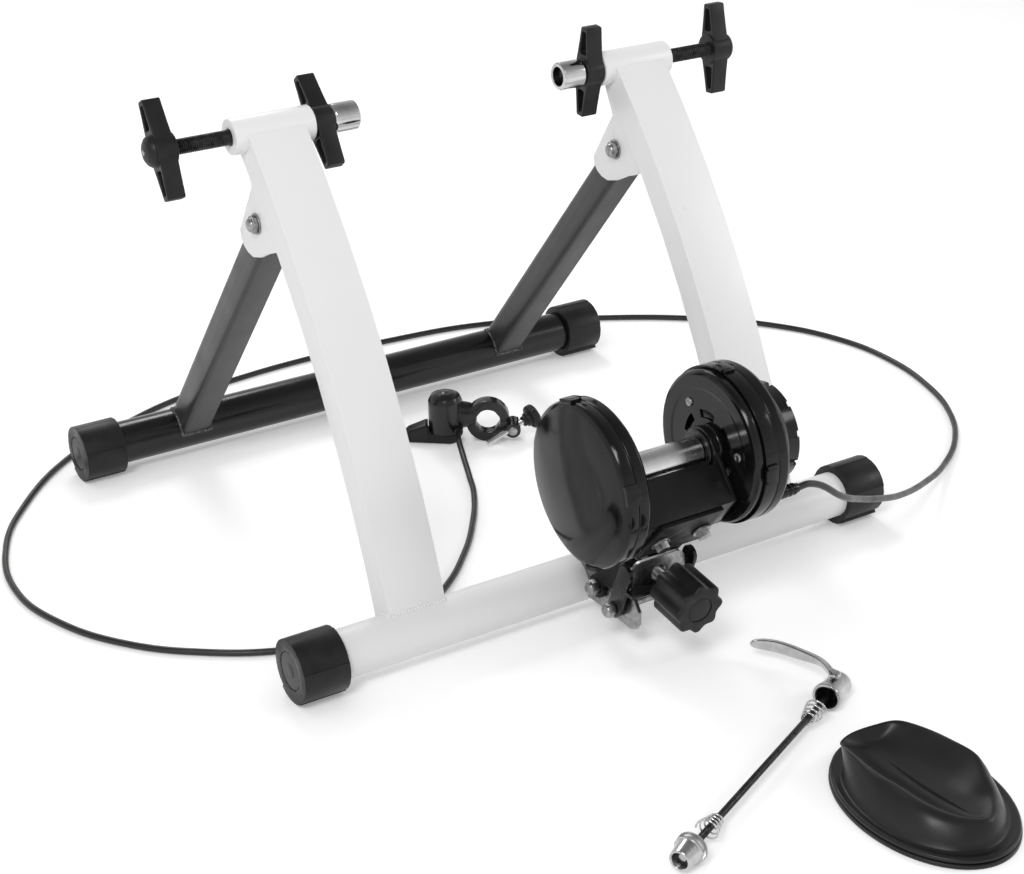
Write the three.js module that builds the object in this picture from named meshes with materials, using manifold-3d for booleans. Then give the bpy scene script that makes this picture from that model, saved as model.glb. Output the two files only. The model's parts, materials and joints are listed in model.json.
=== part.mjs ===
// A folding magnetic turbo trainer for a bicycle's rear wheel, with its quick release skewer
// and the block that the front wheel stands in. Two arched legs on a front tube and two straight
// legs on a rear tube hold the wheel's axle between two screw clamps. A roller below and in front
// of the axle presses on the tyre and drives a flywheel and a rotor that turns beside magnets. A
// cable from a shifter sets the magnets.
// Units are millimetres and +Z is up. +X runs along the base tubes, +Y points from the front tube
// to the rear tube, and the tyre turns in the plane X = 0.
import * as THREE from 'three';
import { mergeVertices } from 'three/addons/utils/BufferGeometryUtils.js';
import Module from 'manifold-3d';

// Clearance between pieces that touch, and how far a cutting tool runs past what it cuts
const gap = 0.3;
const overrun = 2;

// Base tubes and feet
const frameWidth = 545;
const trackHalf = 213;
const tubeRadius = 19;
const tubeWall = 1.5;
const footRadius = 26;
const footStep = 0.6;
const footSectors = 5;
const footFacets = 5;
const footLength = 37;
const footEndWall = 4;
const footRecessRadius = 15.5;
const footRecessDepth = 1.2;
const footHubRadius = 6;

// Axle line and legs
const legSpacing = 166.3;
const axleY = -7.8;
const axleHeight = 361.5;
const legWidth = 48;
const legDepth = 25;
const legWall = 1.5;
const legBow = 885;
const legHeel = 5;
const sleeveRadius = 14;
const sleeveLength = 67;
const rearLegSize = 28;
const rearLegCorner = 4;
const rearLegHead = 16;

// Hinge brackets between the legs
const bracketWidth = 36;
const bracketPlate = 3;
const pivotShare = 0.856;
const bracketFootShare = 0.777;
const pivotSetback = 30.9;
const pivotBoltRadius = 4;
const boltHeadRadius = 7.4;
const boltHeadHeight = 5.2;
const nutHeight = 8;

// Axle clamps
const rodRadius = 6;
const rodLength = 136;
const cupRadius = 11.5;
const cupLength = 22;
const cupBore = 8;
const cupDepth = 17;
const hubRadius = 12.5;
const lockHubLength = 16.5;
const turnHubLength = 17;
const turnHubDome = 6;
const turnHubTip = 6;
const rodGrip = 7;
const handleReach = 38;
const handleRoot = 23;
const handleTip = 9;
const handleThickness = 14.5;
const handleSlot = 3.6;
const handleSlotShares = [0.46, 0.8];
const lockTilts = { left: 38.4, right: -5.5 };
const turnTilts = { left: 27.6, right: 4.7 };

// Roller, shaft, flywheel and rotor
const wheelRadius = 337;
const unitTilt = 37.15;
const rollerRadius = 11.5;
const rollerHalf = 35;
const shaftRadius = 6;
const flywheelSlack = 5.2;
const flywheelWidth = 15;
const rotorSlack = 4.5;
const rotorWidth = 6;
const rotorHubRadius = 12;
const rotorHubLength = 6;

// Yoke that carries the roller
const earInside = 38;
const earPlate = 3;
const earRadius = 18.3;
const yokePlate = 3;
const yokeReach = 49.5;
const yokeFront = 7.5;
const yokeRear = 28;
const panelStart = 17;
const bearingRadius = 13;
const bearingFlange = 16;
const bearingWidth = 7;
const bearingSlack = 0.8;
const yokeBoltRadius = 4;
const yokeBoltSpacing = 18.5;
const yokeBoltBack = 19.6;
const yokeBoltHead = 5.6;
const washerRadius = 7.6;
const washerThickness = 1.6;

// Housings of the resistance unit
const shellWall = 2.5;
const bossRadius = 17.2;
const flywheelCase = { radius: 62.7, face: 48, seam: 60, end: 76 };
const rotorCase = { radius: 59, face: 45, seam: 53, ringLip: 2, ringEnd: 76 };
const caseEdge = 3;
const coverSlack = 1.3;
const ventRadius = 25;
const ventWidth = 5.5;
const ventCount = 6;
const ventArc = 37;
const ventFirst = -11.7;
const tabWidth = 15;
const tabHeight = 4;
const tabLength = 10;
const tabAngles = [-37, 53, 143, 233];
const magnetCap = { flange: 46, step: 44.5, nose: 38.5, stepAt: 11, noseAt: 15, length: 26.7 };
const magnetCapLap = 6;
const capNotches = 10;
const notchWidth = 5;
const notchDepth = 3.4;
const notchLength = 4;
const carrierPinRadius = 5;
const carrierSlack = 10.5;
const carrierThickness = 4;
const carrierHubRadius = 10;
const magnetRadius = 6.5;
const magnetHeight = 2;
const magnetCount = 6;
const magnetCircle = 37;
const glandRadius = 5;
const glandLength = 18;
const glandPlace = [-54.1, 7.1];

// Base bracket, swing arm and stirrup
const bracketInside = 21;
const bracketSide = 3;
const bracketReach = 85;
const webBack = 74;
const webTop = 48;
const webCorner = 8;
const screwHeight = 34;
const screwHole = 7;
const armPivotOut = 34;
const armPivotUp = 10;
const armSlack = 0.5;
const armSide = 3;
const armLobe = 9.5;
const armPlate = 3;
const armRear = 40;
const armFront = 6;
const crossPlate = 3;
const crossPlateOut = 45;
const crossPlateLow = 25;
const crossPlateHigh = 43;
const crossClearance = 1.3;
const stirrupPivotOut = 62;
const stirrupPivotUp = 5;
const stirrupSide = 3;
const stirrupBar = 7.3;
const stirrupRise = [-14, 36];
const stirrupPlate = [-25, -15.4];
const stirrupPlateUp = 19.6;
const armBoltRadius = 4;
const stirrupBoltRadius = 3.5;

// Adjusting screw and knob
const screwTilt = 7;
const screwRadius = 4;
const screwBack = 43;
const screwNutRadius = 6.5;
const screwNutHeight = 5;
const knobStart = 18.5;
const knobDepth = 36;
const knobRadius = 19.6;
const knobLobe = 1.6;
const knobLobes = 8;
const knobGrip = 14;
const knobInset = 10;
const knobInsetDepth = 2;

// Shifter and its cable
const shifterPlace = [76, 85];
const shifterTurn = -31.5;
const clampOuter = 20;
const clampBore = 11.4;
const clampHalf = 6;
const barrelRadius = 15.8;
const barrelReach = 39;
const barrelTop = 48;
const neckHalf = 5;
const neckLow = 15;
const neckHigh = 29;
const hingeReach = 18.5;
const hingeRadius = 4.2;
const hingePin = 1.8;
const hingeHalf = 3;
const lug = { x: [18, 28], y: [-12, 6], z: [8, 19] };
const lugHole = 2.8;
const clampScrewRadius = 2.5;
const clampScrewKnob = [40, 3, 20];
const clampScrewTip = [-1, -22, 5];
const clampKnobRadius = 9.6;
const clampKnobLobe = 0.9;
const clampKnobLobes = 10;
const clampKnobDepth = 11;
const leverLength = 34;
const leverRoot = 12;
const leverTip = 5.5;
const leverHeight = 10;
const outletRadius = 4.2;
const outletPlace = [-27, 14];
const outletEnd = 16;
const cableRadius = 2.7;
const cableSides = 8;
const cableSteps = 64;

// Skewer
const skewerStart = [-145.5, -524.5];
const skewerEnd = [45.7, -433.8];
const skewerNut = { radius: 11, front: 11, back: 9, tip: 7.5, mouth: 2.5, lip: 1.3, ring: 6 };
const skewerRodRadius = 2.5;
const skewerHead = { radius: 11, body: 9.6, length: 27, wall: 2.2, depth: 12, socket: 20, lip: 4 };
const skewerRodInset = 5;
const leverReach = 80;
const leverWidth = 10;
const leverThickness = 4.6;
const leverFoot = 5;
// The lever's middle line from its pin: along the skewer, across it, up, and its height there
const leverPathShares = [
  [-0.02, 0.01, 0.23, 0.44], [0.08, 0.11, 0.2, 0.46], [0.19, 0.23, -0.02, 0.62],
  [0.27, 0.47, -0.42, 0.9], [0.325, 0.75, -0.56, 1], [0.25, 0.985, -0.72, 0.7],
];
const springCoils = 4;
const springWire = 0.75;
const springPitch = 4.2;
const springWide = 8;
const springNarrow = 3.9;
const springSeat = 17;

// Front wheel block
const blockPlace = [26.5, -556.9];
const blockTurn = -87;
const blockLength = 139;
const blockWidth = 100;
const blockSquareness = 2.4;
const blockFlange = 7;
const blockHeight = 43;
const blockFloor = 13;
const blockSteps = 36;
const blockWallShare = 0.84;
// Rim heights as shares of the block's height, round from its front end by its right side
const blockRimHeightShares = [
  0.62, 0.76, 1, 0.98, 0.88, 0.77, 0.66, 0.55, 0.5, 0.52, 0.56, 0.44, 0.42, 0.55, 0.72, 0.66,
];

// Facets on round pieces
const roundSteps = 20;
const smallSteps = 12;
const pinSides = 8;
const bowSteps = 8;
const earSteps = 16;
const clampSteps = 14;
const tipSteps = 6;
const cornerSteps = 4;
const lobeSteps = 4;
const curlSteps = 8;
const wireSides = 5;

// Places worked out from the sizes above
const radians = THREE.MathUtils.degToRad;
const frontTube = [-trackHalf, footRadius];
const rearTube = [trackHalf, footRadius];
const axle = [axleY, axleHeight];
const sleeveInside = legSpacing - sleeveLength / 2;
const lockStart = sleeveInside - gap - lockHubLength;
const cupEnd = lockStart - gap;
const cupStart = cupEnd - cupLength;
const rodEnd = cupEnd + gap + rodLength;
const turnStart = rodEnd - rodGrip;
const rollerDrop = wheelRadius + rollerRadius;
const rollerY = axleY - rollerDrop * Math.cos(radians(unitTilt));
const rollerZ = axleHeight - rollerDrop * Math.sin(radians(unitTilt));
const roller = [rollerY, rollerZ];
const armPivot = [-trackHalf - armPivotOut, footRadius + armPivotUp];
const stirrupPivot = [-trackHalf - stirrupPivotOut, footRadius + stirrupPivotUp];
const bracketOutside = bracketInside + bracketSide;
const armInside = bracketOutside + armSlack;
const stirrupInside = armInside + armSide + armSlack;
const screwPlace = [frontTube[0] - webBack - bracketSide / 2, frontTube[1] + screwHeight];
const glandEnd = rotorCase.ringEnd + glandLength;
const barrelFloor = leverHeight + gap;

// Joins and cuts

const wasm = await Module();
wasm.setup();

// A closed geometry as a solid that can be joined and cut
function toSolid(geometry) {
  const bare = geometry.clone();
  const raw = bare.hasAttribute('normal');
  bare.deleteAttribute('normal');
  bare.deleteAttribute('uv');
  const closed = raw ? mergeVertices(bare) : bare;
  return new wasm.Manifold(new wasm.Mesh({
    numProp: 3,
    vertProperties: Float32Array.from(closed.attributes.position.array),
    triVerts: Uint32Array.from(closed.index.array),
  }));
}

function toGeometry(solid) {
  const { vertProperties, triVerts } = solid.getMesh();
  const geometry = new THREE.BufferGeometry();
  geometry.setAttribute('position', new THREE.BufferAttribute(vertProperties, 3));
  geometry.setIndex(new THREE.BufferAttribute(triVerts, 1));
  return geometry;
}

function join(...geometries) {
  return toGeometry(geometries.map(toSolid).reduce((all, next) => all.add(next)));
}

function cut(body, ...tools) {
  return toGeometry(tools.map(toSolid).reduce((left, tool) => left.subtract(tool), toSolid(body)));
}

// Basic forms

const axisX = new THREE.Vector3(1, 0, 0);
const axisY = new THREE.Vector3(0, 1, 0);
const axisZ = new THREE.Vector3(0, 0, 1);
const outlineYZ = new THREE.Matrix4().makeBasis(axisY, axisZ, axisX);
const outlineXZ = new THREE.Matrix4().makeBasis(axisX, axisZ, axisY.clone().negate());
const outlineXY = new THREE.Matrix4();

// An outline of [u, v] points in a plane, pushed from start to end along the plane's normal
function prism(plane, outline, start, end, holes = []) {
  const points = (loop) => loop.map(([u, v]) => new THREE.Vector2(u, v));
  const shape = new THREE.Shape(points(outline));
  shape.holes = holes.map((hole) => new THREE.Path(points(hole)));
  const geometry = new THREE.ExtrudeGeometry(shape, { depth: end - start, bevelEnabled: false });
  return geometry.translate(0, 0, start).applyMatrix4(plane);
}

// A profile of [along, radius] points turned about the X axis
function turned(profile, steps = roundSteps) {
  const points = profile.map(([along, radius]) => new THREE.Vector2(radius, along));
  return new THREE.LatheGeometry(points, steps).rotateZ(-Math.PI / 2);
}

function rod(radius, start, end, steps = smallSteps) {
  return turned([[start, 0], [start, radius], [end, radius], [end, 0]], steps);
}

function ring(outer, inner, start, end, steps = roundSteps) {
  return turned([[start, inner], [start, outer], [end, outer], [end, inner], [start, inner]], steps);
}

function box(x, y, z) {
  const centre = [x, y, z].map(([low, high]) => (low + high) / 2);
  return new THREE.BoxGeometry(x[1] - x[0], y[1] - y[0], z[1] - z[0]).translate(...centre);
}

function atYZ(geometry, [y, z]) {
  return geometry.translate(0, y, z);
}

// Points on an arc about a centre, with angles in radians from the outline's first axis
function arc([cu, cv], radius, from, to, steps) {
  return Array.from({ length: steps + 1 }, (_, i) => {
    const angle = from + (to - from) * i / steps;
    return [cu + radius * Math.cos(angle), cv + radius * Math.sin(angle)];
  });
}

function polygon(radius, count) {
  return arc([0, 0], radius, 0, 2 * Math.PI * (1 - 1 / count), count - 1);
}

function hexagon(radius) {
  return polygon(radius, 6);
}

// A bar with round ends between two points, each end with its own radius
function capsule(p, q, pRadius, qRadius, steps = tipSteps) {
  const heading = Math.atan2(q[1] - p[1], q[0] - p[0]);
  const quarter = Math.PI / 2;
  return [
    ...arc(p, pRadius, heading + quarter, heading + 3 * quarter, steps),
    ...arc(q, qRadius, heading - quarter, heading + quarter, steps),
  ];
}

function roundedSquare(half, corner) {
  const inner = half - corner;
  return [0, 1, 2, 3].flatMap((turn) => {
    const middle = Math.PI / 4 + turn * Math.PI / 2;
    const centre = [Math.SQRT2 * inner * Math.cos(middle), Math.SQRT2 * inner * Math.sin(middle)];
    return arc(centre, corner, turn * Math.PI / 2, (turn + 1) * Math.PI / 2, cornerSteps - 1);
  });
}

// A star outline whose edge waves in and out
function star(radius, lobe, lobes) {
  const count = lobes * lobeSteps;
  return Array.from({ length: count }, (_, i) => {
    const angle = 2 * Math.PI * i / count;
    const reach = radius + lobe * Math.cos(lobes * angle);
    return [reach * Math.cos(angle), reach * Math.sin(angle)];
  });
}

// A closed body through rings of points that all have the same count, closed by a fan at each end
function loft(rings) {
  const count = rings[0].length;
  const centreOf = (loop) => loop
    .reduce((sum, point) => sum.add(point), new THREE.Vector3())
    .divideScalar(count);
  const points = [...rings.flat(), centreOf(rings[0]), centreOf(rings[rings.length - 1])];
  const first = points.length - 2;
  const last = points.length - 1;
  const faces = [];
  for (let i = 0; i < count; i++) {
    const next = (i + 1) % count;
    faces.push(first, next, i);
    for (let level = 0; level < rings.length - 1; level++) {
      const low = level * count;
      const high = low + count;
      faces.push(low + i, low + next, high + next, low + i, high + next, high + i);
    }
    const top = (rings.length - 1) * count;
    faces.push(top + i, top + next, last);
  }
  const geometry = new THREE.BufferGeometry().setFromPoints(points);
  geometry.setIndex(faces);
  return geometry;
}

// Finishes

function finish(color, roughness, metalness) {
  return new THREE.MeshStandardMaterial({ color, roughness, metalness });
}

const whitePaint = () => finish(0xe9e9e8, 0.3, 0);
const greyPaint = () => finish(0x4c4d4f, 0.35, 0.2);
const blackPaint = () => finish(0x151617, 0.35, 0.1);
const blackSteel = () => finish(0x202124, 0.4, 0.6);
const zincSteel = () => finish(0x8f9192, 0.4, 0.85);
const chrome = () => finish(0xd6d8da, 0.15, 1);
const brushedSteel = () => finish(0xb9bbbd, 0.3, 0.95);
const castSteel = () => finish(0x6d6f72, 0.5, 0.8);
const glossPlastic = () => finish(0x101113, 0.2, 0);
const mattePlastic = () => finish(0x1d1e1f, 0.6, 0);
const greyPlastic = () => finish(0x3a3b3d, 0.55, 0);
const blackRubber = () => finish(0x222625, 0.75, 0);

const trainer = new THREE.Group();

function piece(name, geometry, material, parent = trainer) {
  const mesh = new THREE.Mesh(geometry, material);
  mesh.name = name;
  parent.add(mesh);
  return mesh;
}

function groupAt(x, y, z, parent = trainer) {
  const group = new THREE.Group();
  group.position.set(x, y, z);
  parent.add(group);
  return group;
}

const sides = { left: -1, right: 1 };

// Base tubes and feet

function baseTube() {
  const half = frameWidth / 2 - footEndWall - gap;
  return ring(tubeRadius, tubeRadius - tubeWall, -half, half);
}

// A cam of five sectors, each with its own radius, so that turning it levels the frame
function foot() {
  const sector = 2 * Math.PI / footSectors;
  const facet = sector / footFacets;
  const outline = [];
  for (let i = 0; i < footSectors; i++) {
    const start = -Math.PI / 2 - sector / 2 + i * sector;
    const apothem = footRadius - i * footStep;
    outline.push(...arc([0, 0], apothem / Math.cos(facet / 2), start, start + sector, footFacets));
  }
  const start = frameWidth / 2 - footLength;
  const end = frameWidth / 2;
  return cut(
    prism(outlineYZ, outline, start, end),
    rod(tubeRadius + gap, start - overrun, end - footEndWall, roundSteps),
    ring(footRecessRadius, footHubRadius, end - footRecessDepth, end + overrun, smallSteps),
  );
}

function addBase() {
  piece('front_base_tube', baseTube(), whitePaint(), groupAt(0, ...frontTube));
  piece('rear_base_tube', baseTube(), blackPaint(), groupAt(0, ...rearTube));
  for (const [end, place] of Object.entries({ front: frontTube, rear: rearTube })) {
    for (const side of Object.keys(sides)) {
      const mesh = piece(`${end}_${side}_foot`, foot(), mattePlastic(), groupAt(0, ...place));
      mesh.rotation.z = side === 'left' ? Math.PI : 0;
    }
  }
}

// Arched front legs. Their centreline is an arc whose centre lies behind and below the legs.

const legFoot = [frontTube[0] + legHeel, frontTube[1]];
const legCentre = arcCentre(legFoot, axle, legBow);
const legFrom = angleFrom(legCentre, axle);
const legTo = angleFrom(legCentre, legFoot);
const legRear = legBow - legDepth / 2;

function arcCentre([py, pz], [qy, qz], radius) {
  const length = Math.hypot(qy - py, qz - pz);
  const rise = Math.sqrt(radius ** 2 - (length / 2) ** 2);
  const normal = [(qz - pz) / length, -(qy - py) / length];
  return [(py + qy) / 2 + normal[0] * rise, (pz + qz) / 2 + normal[1] * rise];
}

function angleFrom(centre, point) {
  return Math.atan2(point[1] - centre[1], point[0] - centre[0]);
}

function alongLeg(radius, share) {
  return arc(legCentre, radius, legTo + (legFrom - legTo) * share, legFrom, 1)[0];
}

// The band between two radii about the leg's centre
function legBand(inner, outer, from = legFrom, to = legTo) {
  return [
    ...arc(legCentre, outer, from, to, bowSteps),
    ...arc(legCentre, inner, to, from, bowSteps),
  ];
}

function tubeTool(place, radius) {
  return atYZ(rod(radius + gap, -legWidth, legWidth, roundSteps), place);
}

function frontLeg() {
  const past = overrun / legBow;
  const legFront = legRear + legDepth;
  const hollow = legBand(legRear + legWall, legFront - legWall, legFrom - past, legTo + past);
  return cut(
    prism(outlineYZ, legBand(legRear, legFront), -legWidth / 2, legWidth / 2),
    prism(outlineYZ, hollow, legWall - legWidth / 2, legWidth / 2 - legWall),
    tubeTool(frontTube, tubeRadius),
    tubeTool(axle, sleeveRadius),
  );
}

const pivot = alongLeg(legRear - pivotSetback, pivotShare);

// A folded bracket behind the leg: two side plates and the web that joins them
function hingeBracket() {
  const shares = [
    [0.52, 1.64], [0.152, 0.927], [1.06, -0.47], [1.03, -0.66], [0.88, -0.84], [0.66, -0.95],
    [0.36, -0.99], [-0.1, -0.86], [-0.55, -0.63], [-1.03, -0.445],
  ];
  const footAngle = legTo + (legFrom - legTo) * bracketFootShare;
  const outline = [
    alongLeg(legBow, bracketFootShare),
    alongLeg(legBow, 1),
    ...shares.map(([y, z]) => [pivot[0] + y * pivotSetback, pivot[1] + z * pivotSetback]),
  ];
  const web = legBand(legRear - gap - bracketPlate, legBow, legFrom, footAngle);
  const half = bracketWidth / 2;
  const inside = half - bracketPlate;
  return cut(
    join(
      prism(outlineYZ, outline, inside, half),
      prism(outlineYZ, outline, -half, -inside),
      prism(outlineYZ, web, -half, half),
    ),
    prism(outlineYZ, legBand(legRear - gap, legRear + legDepth), -legWidth, legWidth),
    tubeTool(axle, sleeveRadius),
    atYZ(rod(pivotBoltRadius + gap, -legWidth, legWidth), pivot),
  );
}

const rearLegLength = Math.hypot(rearTube[0] - pivot[0], rearTube[1] - pivot[1]);
const rearLegTurn = Math.atan2(rearTube[0] - pivot[0], pivot[1] - rearTube[1]);

function rearLeg() {
  const half = rearLegSize / 2;
  const skin = roundedSquare(half, rearLegCorner);
  const hollow = roundedSquare(half - legWall, rearLegCorner - legWall);
  const tube = prism(outlineXY, skin, -rearLegLength, rearLegHead, [hollow]).rotateX(rearLegTurn);
  return cut(
    atYZ(tube, pivot),
    tubeTool(rearTube, tubeRadius),
    atYZ(rod(pivotBoltRadius + gap, -legWidth, legWidth), pivot),
  );
}

// A hexagon head on a round shank, along X
function hexBolt(shank, head, height, from, seat) {
  return join(
    rod(shank, from, seat + height / 2),
    prism(outlineYZ, hexagon(head), seat, seat + height),
  );
}

function domeNut(radius, bore, height, start) {
  const body = turned([
    [start, 0], [start, radius], [start + 0.6 * height, radius],
    [start + 0.9 * height, 0.6 * radius], [start + height, 0],
  ], smallSteps);
  const reach = start + 0.7 * height;
  return cut(body, rod(bore, start - overrun, reach));
}

function addLegs() {
  const outside = bracketWidth / 2 + gap;
  for (const [side, sign] of Object.entries(sides)) {
    const centre = groupAt(sign * legSpacing, 0, 0);
    piece(`${side}_leg`, frontLeg(), whitePaint(), centre);
    const sleeve = ring(sleeveRadius, rodRadius + gap, -sleeveLength / 2, sleeveLength / 2);
    piece(`${side}_axle_sleeve`, atYZ(sleeve, axle), whitePaint(), centre);
    piece(`${side}_hinge_bracket`, hingeBracket(), whitePaint(), centre);
    piece(`${side}_rear_leg`, rearLeg(), greyPaint(), centre);
    const boltEnd = -outside - nutHeight / 2;
    const bolt = hexBolt(pivotBoltRadius, boltHeadRadius, boltHeadHeight, boltEnd, outside);
    piece(`${side}_pivot_bolt`, atYZ(bolt, pivot), zincSteel(), centre);
    const nut = domeNut(boltHeadRadius, pivotBoltRadius + gap, nutHeight, outside).rotateY(Math.PI);
    piece(`${side}_pivot_nut`, atYZ(nut, pivot), zincSteel(), centre);
  }
}

// Axle clamps: a rod screwed through the sleeve, with a cup inside and two cross handles

// The cross arms of a handle: a bar with round tips, narrower towards them, with a slot in each arm
function handleArms() {
  const tip = handleTip / 2;
  const half = handleReach - tip;
  const upper = arc([0, half], tip, 0, Math.PI, tipSteps);
  const lower = arc([0, -half], tip, Math.PI, 2 * Math.PI, tipSteps);
  const outline = [...upper, [-handleRoot / 2, 0], ...lower, [handleRoot / 2, 0]];
  const [low, high] = handleSlotShares.map((share) => share * handleReach);
  const slot = capsule([0, low], [0, high], handleSlot / 2, handleSlot / 2, cornerSteps);
  const mirrored = slot.map(([u, v]) => [-u, -v]);
  return [outline, [slot, mirrored]];
}

function lockHandle() {
  const [outline, slots] = handleArms();
  const start = lockStart + (lockHubLength - handleThickness) / 2;
  return cut(
    join(
      rod(hubRadius, lockStart, lockStart + lockHubLength),
      prism(outlineYZ, outline, start, start + handleThickness, slots),
    ),
    rod(rodRadius + gap, lockStart - overrun, lockStart + lockHubLength + overrun),
  );
}

function turnHandle() {
  const [outline, slots] = handleArms();
  const start = turnStart + (turnHubLength - handleThickness) / 2;
  const shoulder = turnStart + turnHubLength;
  const hub = turned([
    [turnStart, 0], [turnStart, hubRadius], [shoulder, hubRadius],
    [shoulder + 0.6 * turnHubDome, 0.5 * (hubRadius + turnHubTip)],
    [shoulder + turnHubDome, turnHubTip], [shoulder + turnHubDome, 0],
  ], smallSteps);
  return cut(
    join(hub, prism(outlineYZ, outline, start, start + handleThickness, slots)),
    rod(rodRadius + gap, turnStart - overrun, rodEnd + gap),
  );
}

// A cup open towards the wheel
function axleCup() {
  const chamfer = (cupRadius - cupBore) / 2;
  return turned([
    [cupStart + cupDepth, 0], [cupStart + cupDepth, cupBore], [cupStart, cupBore],
    [cupStart, cupRadius - chamfer / 2], [cupStart + chamfer, cupRadius], [cupEnd - chamfer, cupRadius],
    [cupEnd, cupRadius - chamfer], [cupEnd, 0],
  ], smallSteps);
}

function addClamps() {
  for (const side of Object.keys(sides)) {
    const line = groupAt(0, ...axle);
    line.rotation.z = side === 'left' ? Math.PI : 0;
    const tilt = (angle) => radians(side === 'left' ? angle : -angle);
    piece(`${side}_axle_rod`, rod(rodRadius, rodEnd - rodLength, rodEnd), blackSteel(), line);
    piece(`${side}_axle_cup`, axleCup(), chrome(), line);
    const lock = piece(`${side}_lock_handle`, lockHandle(), mattePlastic(), line);
    lock.rotation.x = tilt(lockTilts[side]);
    const turner = piece(`${side}_turn_handle`, turnHandle(), mattePlastic(), line);
    turner.rotation.x = tilt(turnTilts[side]);
  }
}

// Resistance unit, drawn about the roller's axis with +Y towards the wheel's axle

const unit = groupAt(0, ...roller);
unit.rotation.x = radians(unitTilt);

// A point of the unit, given away from the wheel and up along the yoke, in the whole part's frame
function fromUnit(away, up) {
  const tilt = radians(unitTilt);
  return [
    rollerY - away * Math.cos(tilt) - up * Math.sin(tilt),
    rollerZ - away * Math.sin(tilt) + up * Math.cos(tilt),
  ];
}

const bearingStart = rollerHalf + bearingSlack;
const flywheelRadius = flywheelCase.radius - shellWall - flywheelSlack;
const rotorRadius = rotorCase.radius - shellWall - rotorSlack;
const ringRadius = rotorCase.radius + rotorCase.ringLip;
const carrierRadius = ringRadius - shellWall - carrierSlack;
const flywheelStart = flywheelCase.face + shellWall + 2 * gap;
const shaftLeft = flywheelStart + flywheelWidth + shaftRadius / 2;
const rotorInside = rotorCase.face + shellWall + gap;
const rotorStart = rotorInside + rotorHubLength;
const carrierEnd = rotorCase.ringEnd - shellWall - caseEdge;
const carrierStart = carrierEnd - carrierThickness;
const magnetFace = carrierStart - magnetHeight;
const shaftRight = magnetFace - gap;
const capStart = rotorCase.ringEnd + gap;
const capEnd = capStart + magnetCap.length;

function addDrive() {
  const bore = shaftRadius + gap;
  piece('roller', ring(rollerRadius, bore, -rollerHalf, rollerHalf), brushedSteel(), unit);
  piece('roller_shaft', rod(shaftRadius, -shaftLeft, shaftRight), brushedSteel(), unit);
  const flywheel = ring(flywheelRadius, bore, flywheelStart, flywheelStart + flywheelWidth);
  piece('flywheel', flywheel, castSteel(), unit).rotation.y = Math.PI;
  const rotorEnd = rotorStart + rotorWidth;
  const rotor = turned([
    [rotorInside, bore], [rotorInside, rotorHubRadius], [rotorStart, rotorHubRadius],
    [rotorStart, rotorRadius], [rotorEnd, rotorRadius], [rotorEnd, bore], [rotorInside, bore],
  ]);
  piece('rotor_disc', rotor, castSteel(), unit);
}

function bearing() {
  const bore = shaftRadius + gap;
  const shoulder = earInside - gap;
  const end = bearingStart + bearingWidth;
  return turned([
    [bearingStart, bore], [bearingStart, bearingFlange], [shoulder, bearingFlange],
    [shoulder, bearingRadius], [end, bearingRadius], [end, bore], [bearingStart, bore],
  ], smallSteps);
}

// The angle on a circle about the origin where a line from the point touches it
function touchAngle([y, z], radius, turn) {
  return Math.atan2(z, y) + turn * Math.acos(radius / Math.hypot(y, z));
}

// Two ears with round heads, the panel in front of the roller and the plate that joins them
function yoke() {
  const outside = earInside + earPlate;
  const upper = [-yokeReach, yokeFront];
  const lower = [-yokeReach, -yokeRear];
  const from = touchAngle(lower, earRadius, 1);
  const head = arc([0, 0], earRadius, from, touchAngle(upper, earRadius, -1), earSteps);
  const ear = [lower, ...head, upper];
  return cut(
    join(
      prism(outlineYZ, ear, earInside, outside),
      prism(outlineYZ, ear, -outside, -earInside),
      box([-outside, outside], [-yokeReach, -panelStart], [yokeFront - yokePlate, yokeFront]),
      box([-outside, outside], [-yokeReach, yokePlate - yokeReach], [-yokeRear, yokeFront]),
    ),
    rod(bearingRadius + gap, -outside - overrun, outside + overrun, roundSteps),
    yokeBoltTool(-1),
    yokeBoltTool(1),
  );
}

// Stands a turned piece away from the wheel, where the yoke's bolts are
function atYokeBolt(geometry, sign) {
  return geometry.rotateZ(-Math.PI / 2).translate(sign * yokeBoltSpacing, 0, -yokeBoltBack);
}

function yokeBoltTool(sign) {
  const start = yokeReach - yokePlate - overrun;
  const end = yokeReach + gap + armPlate + overrun;
  return atYokeBolt(rod(yokeBoltRadius + gap, start, end), sign);
}

function yokeBolt(sign) {
  const seat = yokeReach + gap + armPlate + gap;
  const nutEnd = yokeReach - yokePlate - gap;
  const head = hexagon(yokeBoltHead);
  const top = seat + washerThickness + boltHeadHeight;
  return atYokeBolt(join(
    rod(yokeBoltRadius, nutEnd - boltHeadHeight - yokeBoltRadius / 2, top - boltHeadHeight / 2),
    rod(washerRadius, seat, seat + washerThickness),
    prism(outlineYZ, head, seat + washerThickness / 2, top),
    prism(outlineYZ, head, nutEnd - boltHeadHeight, nutEnd),
  ), sign);
}

function addYoke() {
  piece('yoke', yoke(), blackSteel(), unit);
  for (const [side, sign] of Object.entries(sides)) {
    piece(`${side}_yoke_bolt`, yokeBolt(sign), zincSteel(), unit);
    piece(`${side}_bearing`, bearing(), brushedSteel(), unit).rotation.y = sign < 0 ? Math.PI : 0;
  }
}

// An inner cover: a disc with a boss that seats on the yoke's ear, and a rim
function innerCover({ radius, face, seam }) {
  const bossFace = earInside + earPlate + gap;
  const bore = bearingRadius + coverSlack;
  return turned([
    [bossFace, bore], [bossFace, bossRadius], [face, bossRadius], [face, radius - caseEdge],
    [face + caseEdge, radius], [seam, radius], [seam, radius - shellWall],
    [face + shellWall, radius - shellWall - caseEdge / 2], [face + shellWall, bore], [bossFace, bore],
  ]);
}

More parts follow.
